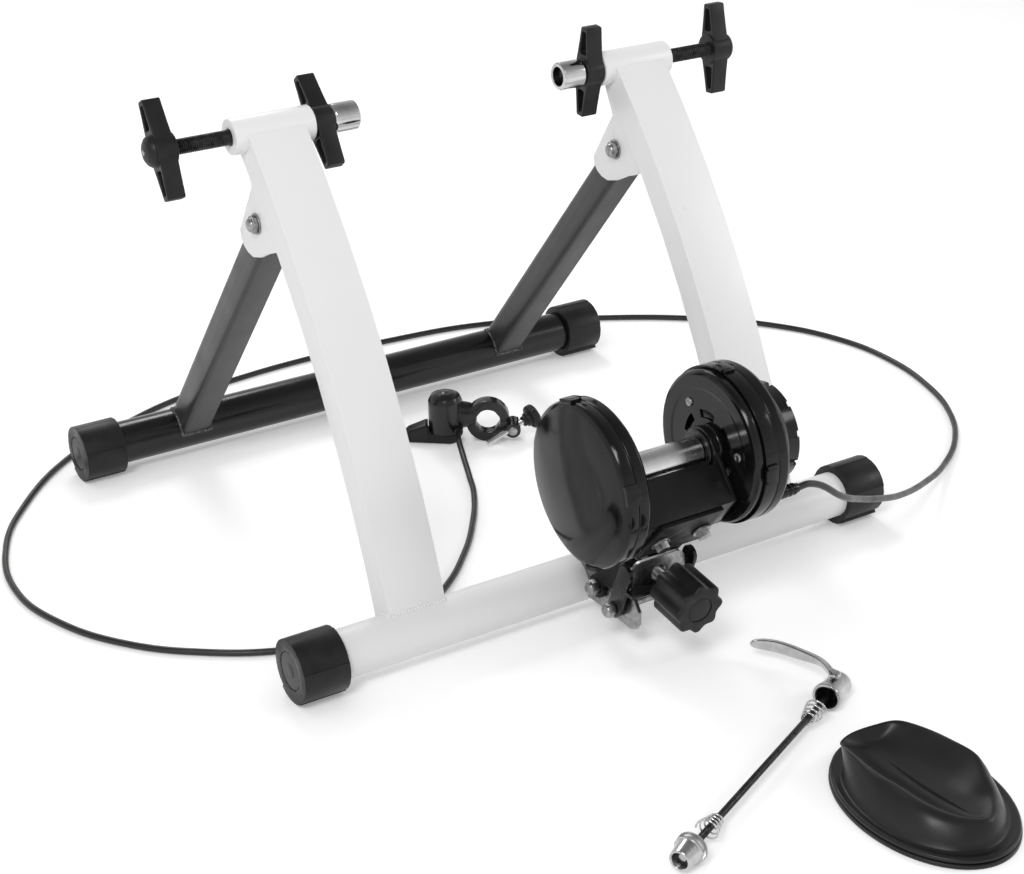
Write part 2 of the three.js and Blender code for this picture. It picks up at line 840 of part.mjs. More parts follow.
// A clip tab across a housing's seam, at an angle about the roller's axis
function clipTab(radius, start, angle) {
  const tab = box([start, start + tabLength], [-tabWidth / 2, tabWidth / 2],
    [radius - tabHeight / 2, radius + tabHeight / 2]);
  return tab.rotateX(angle);
}

// Arc slots through the inner cover's face
function ventTools(face) {
  const pitch = 2 * Math.PI / ventCount;
  const half = radians(ventArc) / 2;
  return Array.from({ length: ventCount }, (_, i) => {
    const middle = radians(ventFirst) + i * pitch;
    const outline = [
      ...arc([0, 0], ventRadius + ventWidth / 2, middle - half, middle + half, cornerSteps),
      ...arc([0, 0], ventRadius - ventWidth / 2, middle + half, middle - half, cornerSteps),
    ];
    return prism(outlineYZ, outline, face - overrun, face + shellWall + overrun);
  });
}

function flywheelCover() {
  const { radius, seam, end } = flywheelCase;
  const depth = end - seam;
  const inner = radius - shellWall;
  // The dome's profile as shares of its depth and radius
  const domeShares = [[0.4, 1], [0.62, 0.965], [0.8, 0.86], [0.93, 0.67], [1, 0.35]];
  const outside = domeShares.map(([x, r]) => [seam + gap + x * (depth - gap), r * radius]);
  const inside = domeShares.map(([x, r]) => [seam + gap + x * (depth - gap - shellWall), r * inner]);
  return turned([
    [end - shellWall, 0], ...inside.reverse(), [seam + gap, inner], [seam + gap, radius],
    ...outside, [end, 0],
  ]);
}

function magnetHousing() {
  const { seam, ringEnd } = rotorCase;
  const start = seam + gap;
  const inner = ringRadius - shellWall;
  const bore = magnetCap.flange - magnetCapLap;
  const shell = turned([
    [start, inner], [start, ringRadius], [ringEnd - caseEdge, ringRadius],
    [ringEnd, ringRadius - caseEdge], [ringEnd, bore], [ringEnd - shellWall, bore],
    [ringEnd - shellWall, inner], [start, inner],
  ]);
  const gland = rod(glandRadius, ringEnd - shellWall, glandEnd).translate(0, ...glandPlace);
  return join(shell, gland, ...tabAngles.map((angle) => clipTab(ringRadius, start, radians(angle))));
}

function magnetCover() {
  const { flange, step, nose, stepAt, noseAt } = magnetCap;
  const rim = nose - notchDepth;
  const roof = capEnd - shellWall;
  const cap = turned([
    [carrierEnd + gap, 0], [carrierEnd + gap, carrierPinRadius], [roof, carrierPinRadius],
    [roof, rim - shellWall], [capStart + noseAt, rim - shellWall], [capStart + stepAt, step - 2 * shellWall],
    [capStart, step - 2 * shellWall], [capStart, flange], [capStart + stepAt - shellWall, flange],
    [capStart + stepAt, step], [capStart + noseAt, nose + shellWall / 2], [capEnd - notchLength / 4, nose],
    [capEnd, nose - notchLength / 4], [capEnd, 0],
  ]);
  const notches = Array.from({ length: capNotches }, (_, i) => box(
    [capEnd - notchLength, capEnd + overrun], [-notchWidth / 2, notchWidth / 2], [rim, nose + overrun],
  ).rotateX(2 * Math.PI * i / capNotches));
  return cut(cap, ...notches);
}

// The plate that holds the magnets beside the rotor, with its hub on the cover's pin
function magnetPlate() {
  const bore = carrierPinRadius + gap;
  const hubEnd = capEnd - shellWall - gap;
  const plate = turned([
    [carrierStart, bore], [carrierStart, carrierRadius], [carrierEnd, carrierRadius],
    [carrierEnd, carrierHubRadius], [hubEnd, carrierHubRadius], [hubEnd, bore], [carrierStart, bore],
  ]);
  const magnets = Array.from({ length: magnetCount }, (_, i) => (
    rod(magnetRadius, magnetFace, carrierStart + carrierThickness / 2, pinSides)
      .translate(0, magnetCircle, 0)
      .rotateX(2 * Math.PI * i / magnetCount)
  ));
  return join(plate, ...magnets);
}

function addHousings() {
  piece('flywheel_inner_cover', innerCover(flywheelCase), glossPlastic(), unit).rotation.y = Math.PI;
  const cover = join(
    flywheelCover(),
    ...tabAngles.map((angle) => clipTab(flywheelCase.radius, flywheelCase.seam + gap, radians(angle))),
  );
  piece('flywheel_outer_cover', cover, glossPlastic(), unit).rotation.y = Math.PI;
  const vented = cut(innerCover(rotorCase), ...ventTools(rotorCase.face));
  piece('rotor_inner_cover', vented, glossPlastic(), unit);
  piece('magnet_housing', magnetHousing(), glossPlastic(), unit);
  piece('magnet_cover', magnetCover(), glossPlastic(), unit);
  piece('magnet_plate', magnetPlate(), castSteel(), unit);
}

// Base bracket, stirrup and swing arm, drawn in the whole part's frame

function twoSides(outline, inside, thickness) {
  return [
    prism(outlineYZ, outline, inside, inside + thickness),
    prism(outlineYZ, outline, -inside - thickness, -inside),
  ];
}

function relative([y, z], scale, shares) {
  return shares.map(([dy, dz]) => [y + dy * scale, z + dz * scale]);
}

// A folded bracket on the front tube: two sides and the web that the adjusting screw passes
function baseBracket() {
  const sideShares = [
    [0, -0.094], [-0.894, -0.094], [-0.96, -0.066], [-1, 0], [-1, 0.12], [-0.94, 0.2],
    [-0.906, 0.259], [-0.51, 0.247], [-0.3, 0.224], [0, 0.212],
  ];
  const outline = relative(frontTube, bracketReach, sideShares);
  const back = frontTube[0] - webBack;
  const top = frontTube[1] + webTop;
  const low = frontTube[1] + bracketReach * 0.2;
  const half = bracketOutside - webCorner;
  const web = [
    [-bracketOutside, low], [bracketOutside, low],
    ...arc([half, top - webCorner], webCorner, 0, Math.PI / 2, cornerSteps),
    ...arc([-half, top - webCorner], webCorner, Math.PI / 2, Math.PI, cornerSteps),
  ];
  return cut(
    join(
      ...twoSides(outline, bracketInside, bracketSide),
      prism(outlineXZ, web, -back, bracketSide - back),
    ),
    tubeTool(frontTube, tubeRadius),
    atYZ(rod(armBoltRadius + gap, -bracketReach, bracketReach), armPivot),
    atYZ(rod(stirrupBoltRadius + gap, -bracketReach, bracketReach), stirrupPivot),
    alongScrew(rod(screwHole, -bracketSide - overrun, bracketSide + overrun)),
  );
}

// Stands a piece turned about X on the adjusting screw's axis, with +X towards the knob
function alongScrew(geometry) {
  return geometry.rotateZ(-Math.PI / 2).rotateX(radians(screwTilt)).translate(0, ...screwPlace);
}

function stirrup() {
  const barTop = [stirrupPivot[0] + stirrupRise[0], stirrupPivot[1] + stirrupRise[1]];
  const bar = capsule(stirrupPivot, barTop, stirrupBar, stirrupBar);
  const [front, back] = stirrupPlate.map((y) => stirrupPivot[0] + y);
  const low = stirrupPivot[1] + stirrupPlateUp;
  const high = low + stirrupSide;
  const outside = stirrupInside + stirrupSide;
  const boss = stirrupBar - gap;
  return cut(
    join(
      ...twoSides(bar, stirrupInside, stirrupSide),
      box([-outside, outside], [front, back], [low, high]),
      box([-outside, -stirrupInside], [back - stirrupSide, stirrupPivot[0]], [low, high]),
      box([stirrupInside, outside], [back - stirrupSide, stirrupPivot[0]], [low, high]),
      atYZ(rod(boss, bracketOutside + gap, stirrupInside + gap), stirrupPivot),
      atYZ(rod(boss, -stirrupInside - gap, -bracketOutside - gap), stirrupPivot),
    ),
    atYZ(rod(stirrupBoltRadius + gap, -bracketReach, bracketReach), stirrupPivot),
  );
}

// A folded arm from the bracket's pivot bolt up to the plate that carries the yoke
function swingArm() {
  const plateTop = yokeReach + gap + armPlate;
  const plateLow = yokeReach + gap;
  const reach = Math.hypot(armPivot[0] - rollerY, armPivot[1] - rollerZ);
  const backShares = [[-0.124, 0.247], [0.02, 0.09]];
  const frontShares = [[-0.215, 0.082], [-0.235, 0.24], [-0.313, 0.33]];
  const outline = [
    fromUnit(plateTop, armFront),
    fromUnit(plateLow, armFront),
    fromUnit(plateLow, -armRear),
    ...relative(armPivot, reach, backShares),
    [armPivot[0] + armLobe / 2, armPivot[1]],
    ...relative(armPivot, reach, frontShares),
    fromUnit(plateTop, -armRear * 0.8),
  ];
  const lobe = arc(armPivot, armLobe, 0, 2 * Math.PI, smallSteps).slice(1);
  const outside = armInside + armSide;
  const top = box([-outside, outside], [-plateTop, -plateLow], [-armRear, armFront])
    .rotateX(radians(unitTilt))
    .translate(0, ...roller);
  const cross = box([-outside, outside], [0, crossPlate], [crossPlateLow, crossPlateHigh])
    .translate(0, frontTube[0] - crossPlateOut - crossPlate / 2, frontTube[1]);
  const bolts = [-1, 1].map((sign) => yokeBoltTool(sign)
    .rotateX(radians(unitTilt))
    .translate(0, ...roller));
  return cut(
    join(
      ...twoSides(outline, armInside, armSide),
      ...twoSides(lobe, armInside, armSide),
      top,
      cross,
    ),
    atYZ(rod(armBoltRadius + gap, -bracketReach, bracketReach), armPivot),
    alongScrew(rod(screwRadius + crossClearance, -screwBack, 0)),
    ...bolts,
  );
}

// A bolt across the bracket, with a head at one end and a nut at the other
function crossBolt(radius, head, inside, place) {
  const seat = inside + gap;
  const half = boltHeadHeight / 2;
  return atYZ(join(
    rod(radius, -seat - boltHeadHeight - radius / 2, seat + half),
    prism(outlineYZ, hexagon(head), seat, seat + boltHeadHeight),
    prism(outlineYZ, hexagon(head), -seat - boltHeadHeight, -seat),
  ), place);
}

function knob() {
  const end = knobStart + knobDepth;
  const body = prism(outlineYZ, star(knobRadius, knobLobe, knobLobes), knobStart, end);
  return cut(
    body,
    rod(screwRadius + gap, knobStart - overrun, knobStart + knobGrip),
    rod(knobInset, end - knobInsetDepth, end + overrun),
  );
}

function addBracket() {
  piece('base_bracket', baseBracket(), zincSteel());
  piece('stirrup', stirrup(), blackSteel());
  piece('swing_arm', swingArm(), blackSteel());
  const armBolt = crossBolt(armBoltRadius, 1.6 * armBoltRadius, armInside + armSide, armPivot);
  piece('arm_pivot_bolt', armBolt, zincSteel());
  const outside = stirrupInside + stirrupSide;
  const stirrupBolt = crossBolt(stirrupBoltRadius, 1.7 * stirrupBoltRadius, outside, stirrupPivot);
  piece('stirrup_bolt', stirrupBolt, zincSteel());
  const screw = groupAt(0, ...screwPlace);
  screw.rotation.set(radians(screwTilt), 0, -Math.PI / 2);
  const bolt = join(
    rod(screwRadius, -screwBack, knobStart + knobGrip - gap),
    prism(outlineYZ, hexagon(screwNutRadius), -screwBack, screwNutHeight - screwBack),
  );
  piece('adjusting_screw', bolt, zincSteel(), screw);
  piece('adjusting_knob', knob(), mattePlastic(), screw);
}

// Shifter, drawn about the clamp ring's middle: +X to its right, +Y through the ring

const shifter = groupAt(...shifterPlace, 0);
shifter.rotation.z = radians(shifterTurn);
const clampCentre = [0, clampOuter];
const hingePlace = [-hingeReach, clampOuter];

function alongY(geometry, x = 0, z = 0) {
  return geometry.rotateZ(Math.PI / 2).translate(x, 0, z);
}

// Half of the clamp ring: the upper half stays on the body, the lower half is the strap
function halfRing(upper) {
  const from = upper ? 0 : Math.PI;
  const outline = [
    ...arc(clampCentre, clampOuter, from, from + Math.PI, clampSteps),
    ...arc(clampCentre, clampBore, from + Math.PI, from, clampSteps),
  ];
  return prism(outlineXZ, outline, -clampHalf, clampHalf).translate(0, 0, upper ? gap : 0);
}

function clampBoreTool() {
  return alongY(rod(clampBore, -clampHalf - overrun, clampHalf + overrun, roundSteps), ...clampCentre);
}

function shifterBody() {
  const barrel = turned([
    [barrelFloor, 0], [barrelFloor, barrelRadius], [barrelTop - 0.5 * barrelRadius, barrelRadius],
    [barrelTop - 0.2 * barrelRadius, 0.85 * barrelRadius], [barrelTop, 0.45 * barrelRadius],
    [barrelTop, 0],
  ]).rotateY(-Math.PI / 2).translate(-barrelReach, 0, 0);
  const neckEnd = -hingeReach - 2 * hingeRadius;
  const neck = box([-barrelReach, neckEnd], [-neckHalf, neckHalf], [neckLow, neckHigh]);
  const bridge = box([-barrelReach, -clampBore - gap], [-clampHalf, clampHalf],
    [clampOuter + hingeRadius + gap, neckHigh]);
  const earTop = [-hingeReach, clampOuter + 1.5 * hingeRadius];
  const ear = capsule(hingePlace, earTop, hingeRadius, hingeRadius);
  const ears = [[-clampHalf, -hingeHalf - gap], [hingeHalf + gap, clampHalf]]
    .map(([start, end]) => prism(outlineXZ, ear, start, end));
  const knuckle = alongY(rod(hingeRadius + gap, -hingeHalf - gap, hingeHalf + gap), ...hingePlace);
  const pin = alongY(rod(hingePin, -clampHalf, clampHalf), ...hingePlace);
  const outlet = alongY(rod(outletRadius, -outletEnd, -neckHalf / 2), ...outletPlace);
  const body = join(barrel, neck, bridge, halfRing(true), ...ears, outlet);
  return join(cut(body, clampBoreTool(), knuckle), pin);
}

function shifterStrap() {
  const knuckle = alongY(rod(hingeRadius, -hingeHalf, hingeHalf), ...hingePlace);
  const slot = clampHalf + overrun;
  const room = [[-slot, -hingeHalf], [hingeHalf, slot]]
    .map(([start, end]) => alongY(rod(hingeRadius + gap, start, end), ...hingePlace));
  return cut(
    join(cut(halfRing(false), ...room), knuckle, box(lug.x, lug.y, lug.z)),
    alongY(rod(hingePin + gap, -slot, slot), ...hingePlace),
    alongClampScrew(rod(lugHole, -2 * clampOuter, 2 * clampOuter)),
    clampBoreTool(),
  );
}

const clampScrewLength = Math.hypot(...clampScrewKnob.map((value, i) => value - clampScrewTip[i]));

// Lays a piece turned about X along the clamp screw, with +X from its tip to its knob
function alongClampScrew(geometry) {
  const tip = new THREE.Vector3(...clampScrewTip);
  const heading = new THREE.Vector3(...clampScrewKnob).sub(tip).normalize();
  const turn = new THREE.Quaternion().setFromUnitVectors(axisX, heading);
  return geometry.applyQuaternion(turn).translate(...tip);
}

function clampScrew() {
  const outline = star(clampKnobRadius, clampKnobLobe, clampKnobLobes);
  const start = clampScrewLength - clampKnobDepth / 2;
  return alongClampScrew(join(
    rod(clampScrewRadius, 0, clampScrewLength),
    prism(outlineYZ, outline, start, start + clampKnobDepth),
  ));
}

function shifterLever() {
  const outline = capsule([-barrelReach, 0], [-barrelReach - leverLength, 0], leverRoot, leverTip);
  return prism(outlineXY, outline, 0, leverHeight);
}

function addShifter() {
  piece('shifter_body', shifterBody(), mattePlastic(), shifter);
  piece('shifter_strap', shifterStrap(), mattePlastic(), shifter);
  piece('shifter_clamp_screw', clampScrew(), greyPlastic(), shifter);
  piece('shifter_lever', shifterLever(), mattePlastic(), shifter);
}

// The cable's middle line, from the outlet on the magnet housing round the frame to the shifter
const cableRoute = [
  [94.3, -333, 124], [106, -333, 124], [144, -327, 100], [184, -304, 76], [227, -285, 56],
  [262, -267, 41], [324, -231, 20], [380, -196, 7], [429, -158, 3.6], [463, -116, 3.1], [489, -59, 3],
  [502, 20, 3], [492, 86, 3], [459, 150, 3], [408, 204, 3], [322, 264, 3], [210, 317, 3],
  [98, 334, 3], [10, 337, 3], [-68, 331, 3], [-136, 319, 3], [-205, 291, 3], [-269, 254, 3],
  [-333, 188, 3], [-372, 124, 3], [-390, 45, 3], [-378, -18, 3], [-346, -76, 3], [-302, -119, 3],
  [-250, -150, 3], [-205, -162, 3], [-166, -166, 3], [-130, -156, 3], [-95, -133, 3],
  [-57, -96, 3], [-28, -60, 3], [5, -8, 3.1], [19, 24, 3.8], [31, 56, 9.5], [39.2, 76.6, 14],
  [44.4, 85.1, 14],
];

function addCable() {
  const route = new THREE.CatmullRomCurve3(cableRoute.map((point) => new THREE.Vector3(...point)));
  const section = polygon(cableRadius, cableSides);
  const shape = new THREE.Shape(section.map(([u, v]) => new THREE.Vector2(u, v)));
  const geometry = new THREE.ExtrudeGeometry(shape, { steps: cableSteps, extrudePath: route });
  piece('cable', geometry, blackRubber());
}

// Skewer, drawn along +X from the middle of its nut, which lies on the floor beside the frame

const skewerLength = Math.hypot(skewerEnd[0] - skewerStart[0], skewerEnd[1] - skewerStart[1]);
const skewer = groupAt(...skewerStart, skewerNut.radius);
skewer.rotation.z = Math.atan2(skewerEnd[1] - skewerStart[1], skewerEnd[0] - skewerStart[0]);
const leverPin = [skewerLength + skewerHead.length / 2, skewerHead.body + 2 * gap];

function skewerRod() {
  return rod(skewerRodRadius, skewerRodInset - skewerNut.back, skewerLength + skewerHead.socket - gap);
}

function skewerNutBody() {
  const { radius, front, back, tip, mouth, lip, ring: width } = skewerNut;
  const bore = skewerRodRadius + gap;
  const floor = skewerRodInset - gap - back;
  return turned([
    [mouth - back, 0], [mouth - back, tip - lip], [-back, tip - lip], [-back, tip],
    [0, 0.88 * radius],
    [0.18 * front, radius], [0.18 * front + width, radius], [0.25 * front + width, 0.9 * radius],
    [front, 0.9 * radius], [front, bore], [floor, bore], [floor, 0],
  ], smallSteps);
}

function skewerHeadBody() {
  const { radius, body, length, wall, depth, socket, lip } = skewerHead;
  const bore = skewerRodRadius + gap;
  const mouth = skewerLength;
  return turned([
    [mouth + socket, 0], [mouth + socket, bore], [mouth + depth, bore], [mouth + depth, radius - wall],
    [mouth, radius - wall], [mouth, radius], [mouth + lip, radius], [mouth + 1.5 * lip, body],
    [mouth + length - lip, body], [mouth + length, 0.75 * body], [mouth + length, 0],
  ]);
}

// The cam lever: a round foot on the head that runs out into a blade
function skewerLever() {
  const [pinX, pinZ] = leverPin;
  const stations = leverPathShares.map(([x, y, z, tall]) => ({
    centre: new THREE.Vector3(pinX + x * leverReach, y * leverReach, pinZ + z * leverWidth),
    tall: tall * leverWidth,
  }));
  const rings = stations.map(({ centre, tall }, i) => {
    const before = stations[Math.max(i - 1, 0)].centre;
    const after = stations[Math.min(i + 1, stations.length - 1)].centre;
    const across = axisZ.clone().cross(after.clone().sub(before)).normalize();
    const outline = roundedSquare(0.5, 0.2);
    return outline.map(([u, v]) => centre.clone()
      .addScaledVector(across, u * leverThickness)
      .addScaledVector(axisZ, v * tall));
  });
  const foot = rod(leverFoot, 0, leverThickness).rotateY(-Math.PI / 2).translate(pinX, 0, pinZ);
  return join(loft(rings), foot);
}

// A spring wound as a cone, wide at its start and narrow at its end
class ConeCoil extends THREE.Curve {
  getPoint(share, target = new THREE.Vector3()) {
    const angle = 2 * Math.PI * springCoils * share;
    const radius = springWide + (springNarrow - springWide) * share;
    return target.set(share * springCoils * springPitch, radius * Math.cos(angle), radius * Math.sin(angle));
  }
}

// The least gap between the wire of one curl and the wire of another
function coilGap(curve, steps) {
  const points = curve.getPoints(steps);
  const apart = steps / springCoils / 2;
  let least = Infinity;
  points.forEach((point, i) => points.slice(i + apart).forEach((other) => {
    least = Math.min(least, point.distanceTo(other));
  }));
  return least - 2 * springWire;
}

function coneSpring() {
  const wire = polygon(springWire, wireSides);
  const shape = new THREE.Shape(wire.map(([u, v]) => new THREE.Vector2(u, v)));
  return new THREE.ExtrudeGeometry(shape, {
    steps: curlSteps * springCoils,
    extrudePath: new ConeCoil(),
  });
}

function addSkewer() {
  piece('skewer_rod', skewerRod(), blackSteel(), skewer);
  piece('skewer_nut', skewerNutBody(), chrome(), skewer);
  piece('skewer_head', skewerHeadBody(), chrome(), skewer);
  piece('skewer_lever', skewerLever(), chrome(), skewer);
  piece('skewer_nut_spring', coneSpring(), brushedSteel(), skewer).position.x = skewerNut.front + springSeat;
  const spring = piece('skewer_head_spring', coneSpring(), brushedSteel(), skewer);
  spring.position.x = skewerLength - springSeat;
  spring.rotation.z = Math.PI;
  const least = coilGap(new ConeCoil(), 2 * curlSteps * springCoils);
  console.log(`least gap in a spring: ${least.toFixed(2)} mm`);
}

// The front wheel's block: an oval foot, and a rim round a trough for the tyre

function rimHeight(turn) {
  const place = turn * blockRimHeightShares.length;
  const low = Math.floor(place) % blockRimHeightShares.length;
  const high = (low + 1) % blockRimHeightShares.length;
  const blend = (1 - Math.cos((place - Math.floor(place)) * Math.PI)) / 2;
  return blockHeight * (blockRimHeightShares[low] * (1 - blend) + blockRimHeightShares[high] * blend);
}

function wheelBlock() {
  // Each ring: its share of the block's length, its share of the width, and its height
  const edge = () => blockFlange;
  const rings = [
    [1, 1, () => 0],
    [1, 1, () => 0.7 * blockFlange],
    [0.975, 0.97, edge],
    [blockWallShare, blockWallShare, edge],
    [0.8, 0.76, (turn) => 0.94 * rimHeight(turn)],
    [0.77, 0.7, rimHeight],
    [0.73, 0.62, (turn) => 0.96 * rimHeight(turn)],
    [0.66, 0.42, (turn) => 0.5 * (rimHeight(turn) + blockFloor)],
    [0.6, 0.22, () => blockFloor],
  ];
  return loft(rings.map(([long, wide, height]) => Array.from({ length: blockSteps }, (_, i) => {
    const angle = 2 * Math.PI * i / blockSteps;
    const curve = (value) => Math.sign(value) * Math.abs(value) ** (2 / blockSquareness);
    return new THREE.Vector3(
      long * blockLength / 2 * curve(Math.cos(angle)),
      wide * blockWidth / 2 * curve(Math.sin(angle)),
      height(i / blockSteps),
    );
  })));
}

function addBlock() {
  const block = piece('wheel_block', wheelBlock(), blackRubber());
  block.position.set(...blockPlace, 0);
  block.rotation.z = radians(blockTurn);
}

addBase();
addLegs();
addClamps();
addDrive();
addYoke();
addHousings();
addBracket();
addShifter();
addCable();
addSkewer();
addBlock();

// The origin is on the floor below the middle of the box of everything but the cable.
trainer.updateMatrixWorld(true);
const extent = new THREE.Box3();
trainer.traverse((item) => {
  if (item.isMesh && item.name !== 'cable') {
    extent.expandByObject(item, true);
  }
});
const middle = extent.getCenter(new THREE.Vector3());
trainer.position.set(-middle.x, -middle.y, 0);

export default trainer;
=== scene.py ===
# A folding magnetic turbo trainer with its skewer and front wheel block, dressed for a studio
# picture. The sections follow the trainer as it is put together: the camera and the cable first,
# then the two folding frames, the axle clamps, the roller unit, its bracket and the loose items.
# Profiles are written in millimetres and placed in metres.
import json
import math

import bpy
from mathutils import Matrix, Vector

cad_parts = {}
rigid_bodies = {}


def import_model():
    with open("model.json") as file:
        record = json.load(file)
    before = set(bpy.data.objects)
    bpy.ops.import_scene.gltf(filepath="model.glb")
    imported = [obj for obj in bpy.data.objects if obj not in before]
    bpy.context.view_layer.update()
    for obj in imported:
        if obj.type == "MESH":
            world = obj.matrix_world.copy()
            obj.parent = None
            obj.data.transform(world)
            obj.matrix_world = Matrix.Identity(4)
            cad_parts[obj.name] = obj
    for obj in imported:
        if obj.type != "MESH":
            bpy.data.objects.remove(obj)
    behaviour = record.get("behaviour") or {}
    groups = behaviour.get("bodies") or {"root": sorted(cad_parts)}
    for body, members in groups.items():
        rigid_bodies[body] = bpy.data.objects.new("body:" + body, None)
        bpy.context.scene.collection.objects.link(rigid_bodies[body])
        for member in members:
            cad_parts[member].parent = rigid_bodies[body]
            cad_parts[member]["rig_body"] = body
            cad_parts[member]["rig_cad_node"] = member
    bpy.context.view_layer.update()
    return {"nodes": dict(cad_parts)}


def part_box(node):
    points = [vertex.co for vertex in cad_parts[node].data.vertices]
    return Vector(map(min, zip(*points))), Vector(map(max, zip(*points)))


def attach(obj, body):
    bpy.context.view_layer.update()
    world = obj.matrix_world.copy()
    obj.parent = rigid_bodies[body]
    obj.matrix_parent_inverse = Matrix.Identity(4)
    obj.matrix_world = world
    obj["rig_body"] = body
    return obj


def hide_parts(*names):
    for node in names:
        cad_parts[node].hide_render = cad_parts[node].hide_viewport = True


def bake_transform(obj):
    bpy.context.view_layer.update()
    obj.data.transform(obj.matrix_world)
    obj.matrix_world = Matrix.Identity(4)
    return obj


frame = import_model()
bpy.ops.object.select_all(action="DESELECT")

# The photographer's view, from the left and above, with a 70 mm lens. The camera stands about
# 1.6 m from the trainer, and the horizon tilts by less than a degree.
CAMERA_PLACE = Vector((-0.7768, -1.1554, 0.8093))
CAMERA_AZIMUTH, CAMERA_PITCH, CAMERA_ROLL = (math.radians(a) for a in (31.491, 25.847, -0.794))
ahead = Vector((math.sin(CAMERA_AZIMUTH), math.cos(CAMERA_AZIMUTH), 0))
level = Vector((math.cos(CAMERA_AZIMUTH), -math.sin(CAMERA_AZIMUTH), 0))
sight = ahead * math.cos(CAMERA_PITCH) - Vector((0, 0, math.sin(CAMERA_PITCH)))
upright = ahead * math.sin(CAMERA_PITCH) + Vector((0, 0, math.cos(CAMERA_PITCH)))
to_right = level * math.cos(CAMERA_ROLL) + upright * math.sin(CAMERA_ROLL)
to_top = upright * math.cos(CAMERA_ROLL) - level * math.sin(CAMERA_ROLL)
bpy.ops.object.camera_add()
camera = bpy.context.object
camera.matrix_world = Matrix.Translation(CAMERA_PLACE) @ Matrix(
    (to_right, to_top, -sight)).transposed().to_4x4()
camera.data.sensor_width = 36
camera.data.lens = 70.28
bpy.context.scene.camera = camera
bpy.context.scene.view_settings.view_transform = "Standard"

# Studio: a white floor under a white surround with a darker ceiling, a soft lamp above the left
# shoulder, a fill from the right and a lamp behind that edges the black housings with light.
LAMPS = (
    ("key_lamp", (-1.5, -1.3, 2.1), (0, 0, 0.15), 0.8, 26),
    ("fill_lamp", (1.9, -1.1, 1.3), (0, 0, 0.15), 0.7, 9),
    ("back_lamp", (0.4, 2.0, 1.9), (0, 0.1, 0.2), 0.8, 16),
)
for name, place, aim, size, power in LAMPS:
    bpy.ops.object.light_add(type="AREA", location=place)
    lamp = bpy.context.object
    lamp.name = name
    lamp.rotation_euler = (Vector(aim) - Vector(place)).to_track_quat("-Z", "Y").to_euler()
    lamp.data.size = size
    lamp.data.energy = power


class Wire:
    """A socket of a material, so that shader maths reads as plain expressions."""

    def __init__(self, tree, socket):
        self.tree, self.socket = tree, socket

    def maths(self, operation, *values):
        node = self.tree.nodes.new("ShaderNodeMath")
        node.operation = operation
        for slot, value in zip(node.inputs, values):
            connect(self.tree, slot, value)
        return Wire(self.tree, node.outputs[0])

    def __add__(self, other):
        return self.maths("ADD", self, other)

    def __mul__(self, other):
        return self.maths("MULTIPLY", self, other)

    def __rsub__(self, other):
        return self.maths("SUBTRACT", other, self)

    __radd__, __rmul__ = __add__, __mul__

    def above(self, least):
        return self.maths("MAXIMUM", self, least)


def connect(tree, slot, value):
    """Gives a socket a plain value or a link."""
    if isinstance(value, Wire):
        tree.links.new(value.socket, slot)
    else:
        slot.default_value = value


def grey(level):
    return (level, level, level, 1)


def add_node(tree, kind, settings=None, output=0, **sockets):
    """A node with its settings made first, then its sockets, as a Wire from one of its outputs."""
    node = tree.nodes.new("ShaderNode" + kind)
    for key, value in (settings or {}).items():
        if key == "stops":
            for element, (place, level) in zip(node.color_ramp.elements, value):
                element.position, element.color = place, grey(level)
        else:
            setattr(node, key, value)
    for name, value in sockets.items():
        connect(tree, node.inputs[name], value)
    return Wire(tree, node.outputs[output])


class Finish:
    """A material with one Principled shader and whatever nodes its look needs."""

    def __init__(self, name, **sockets):
        self.material = bpy.data.materials.new(name)
        self.material.use_nodes = True
        self.tree = self.material.node_tree
        self.shader = self.tree.nodes["Principled BSDF"]
        self.set(**sockets)

    def set(self, **sockets):
        for name, value in sockets.items():
            connect(self.tree, self.shader.inputs[name.replace("_", " ")], value)
        return self

    def node(self, kind, settings=None, output=0, **sockets):
        return add_node(self.tree, kind, settings, output, **sockets)

    def cloud(self, scale, detail=3.0, stretch=(1, 1, 1)):
        """Soft noise from 0 to 1 with about `scale` blotches to the metre, times the stretch."""
        place = self.node("Mapping", Vector=self.node("TexCoord", output="Object"), Scale=stretch)
        return self.node("TexNoise", Vector=place, Scale=scale, Detail=detail)

    def ramp(self, factor, *stops):
        return self.node("ValToRGB", {"stops": stops}, Fac=factor)

    def bump(self, height, depth, strength):
        return self.node("Bump", Height=height, Distance=depth, Strength=strength)


def seen_by_rays(tree):
    """What is 1 for rays from the camera, for mirrored rays and for rays through glass."""
    return (add_node(tree, "LightPath", output=ray)
            for ray in ("Is Camera Ray", "Is Glossy Ray", "Is Transmission Ray"))


FLOOR_GLOW, FLOOR_SIZE = 0.2, 14
floor_white = Finish("floor_white", Base_Color=grey(0.97), Roughness=0.9,
                     Specular_IOR_Level=0, Emission_Color=grey(1))
camera_sees, gloss_sees, glass_sees = seen_by_rays(floor_white.tree)
floor_white.set(Emission_Strength=(camera_sees + gloss_sees + glass_sees) * FLOOR_GLOW)
bpy.ops.mesh.primitive_plane_add(size=FLOOR_SIZE)
floor = bpy.context.object
floor.name = "studio_floor"
floor.data.materials.append(floor_white.material)
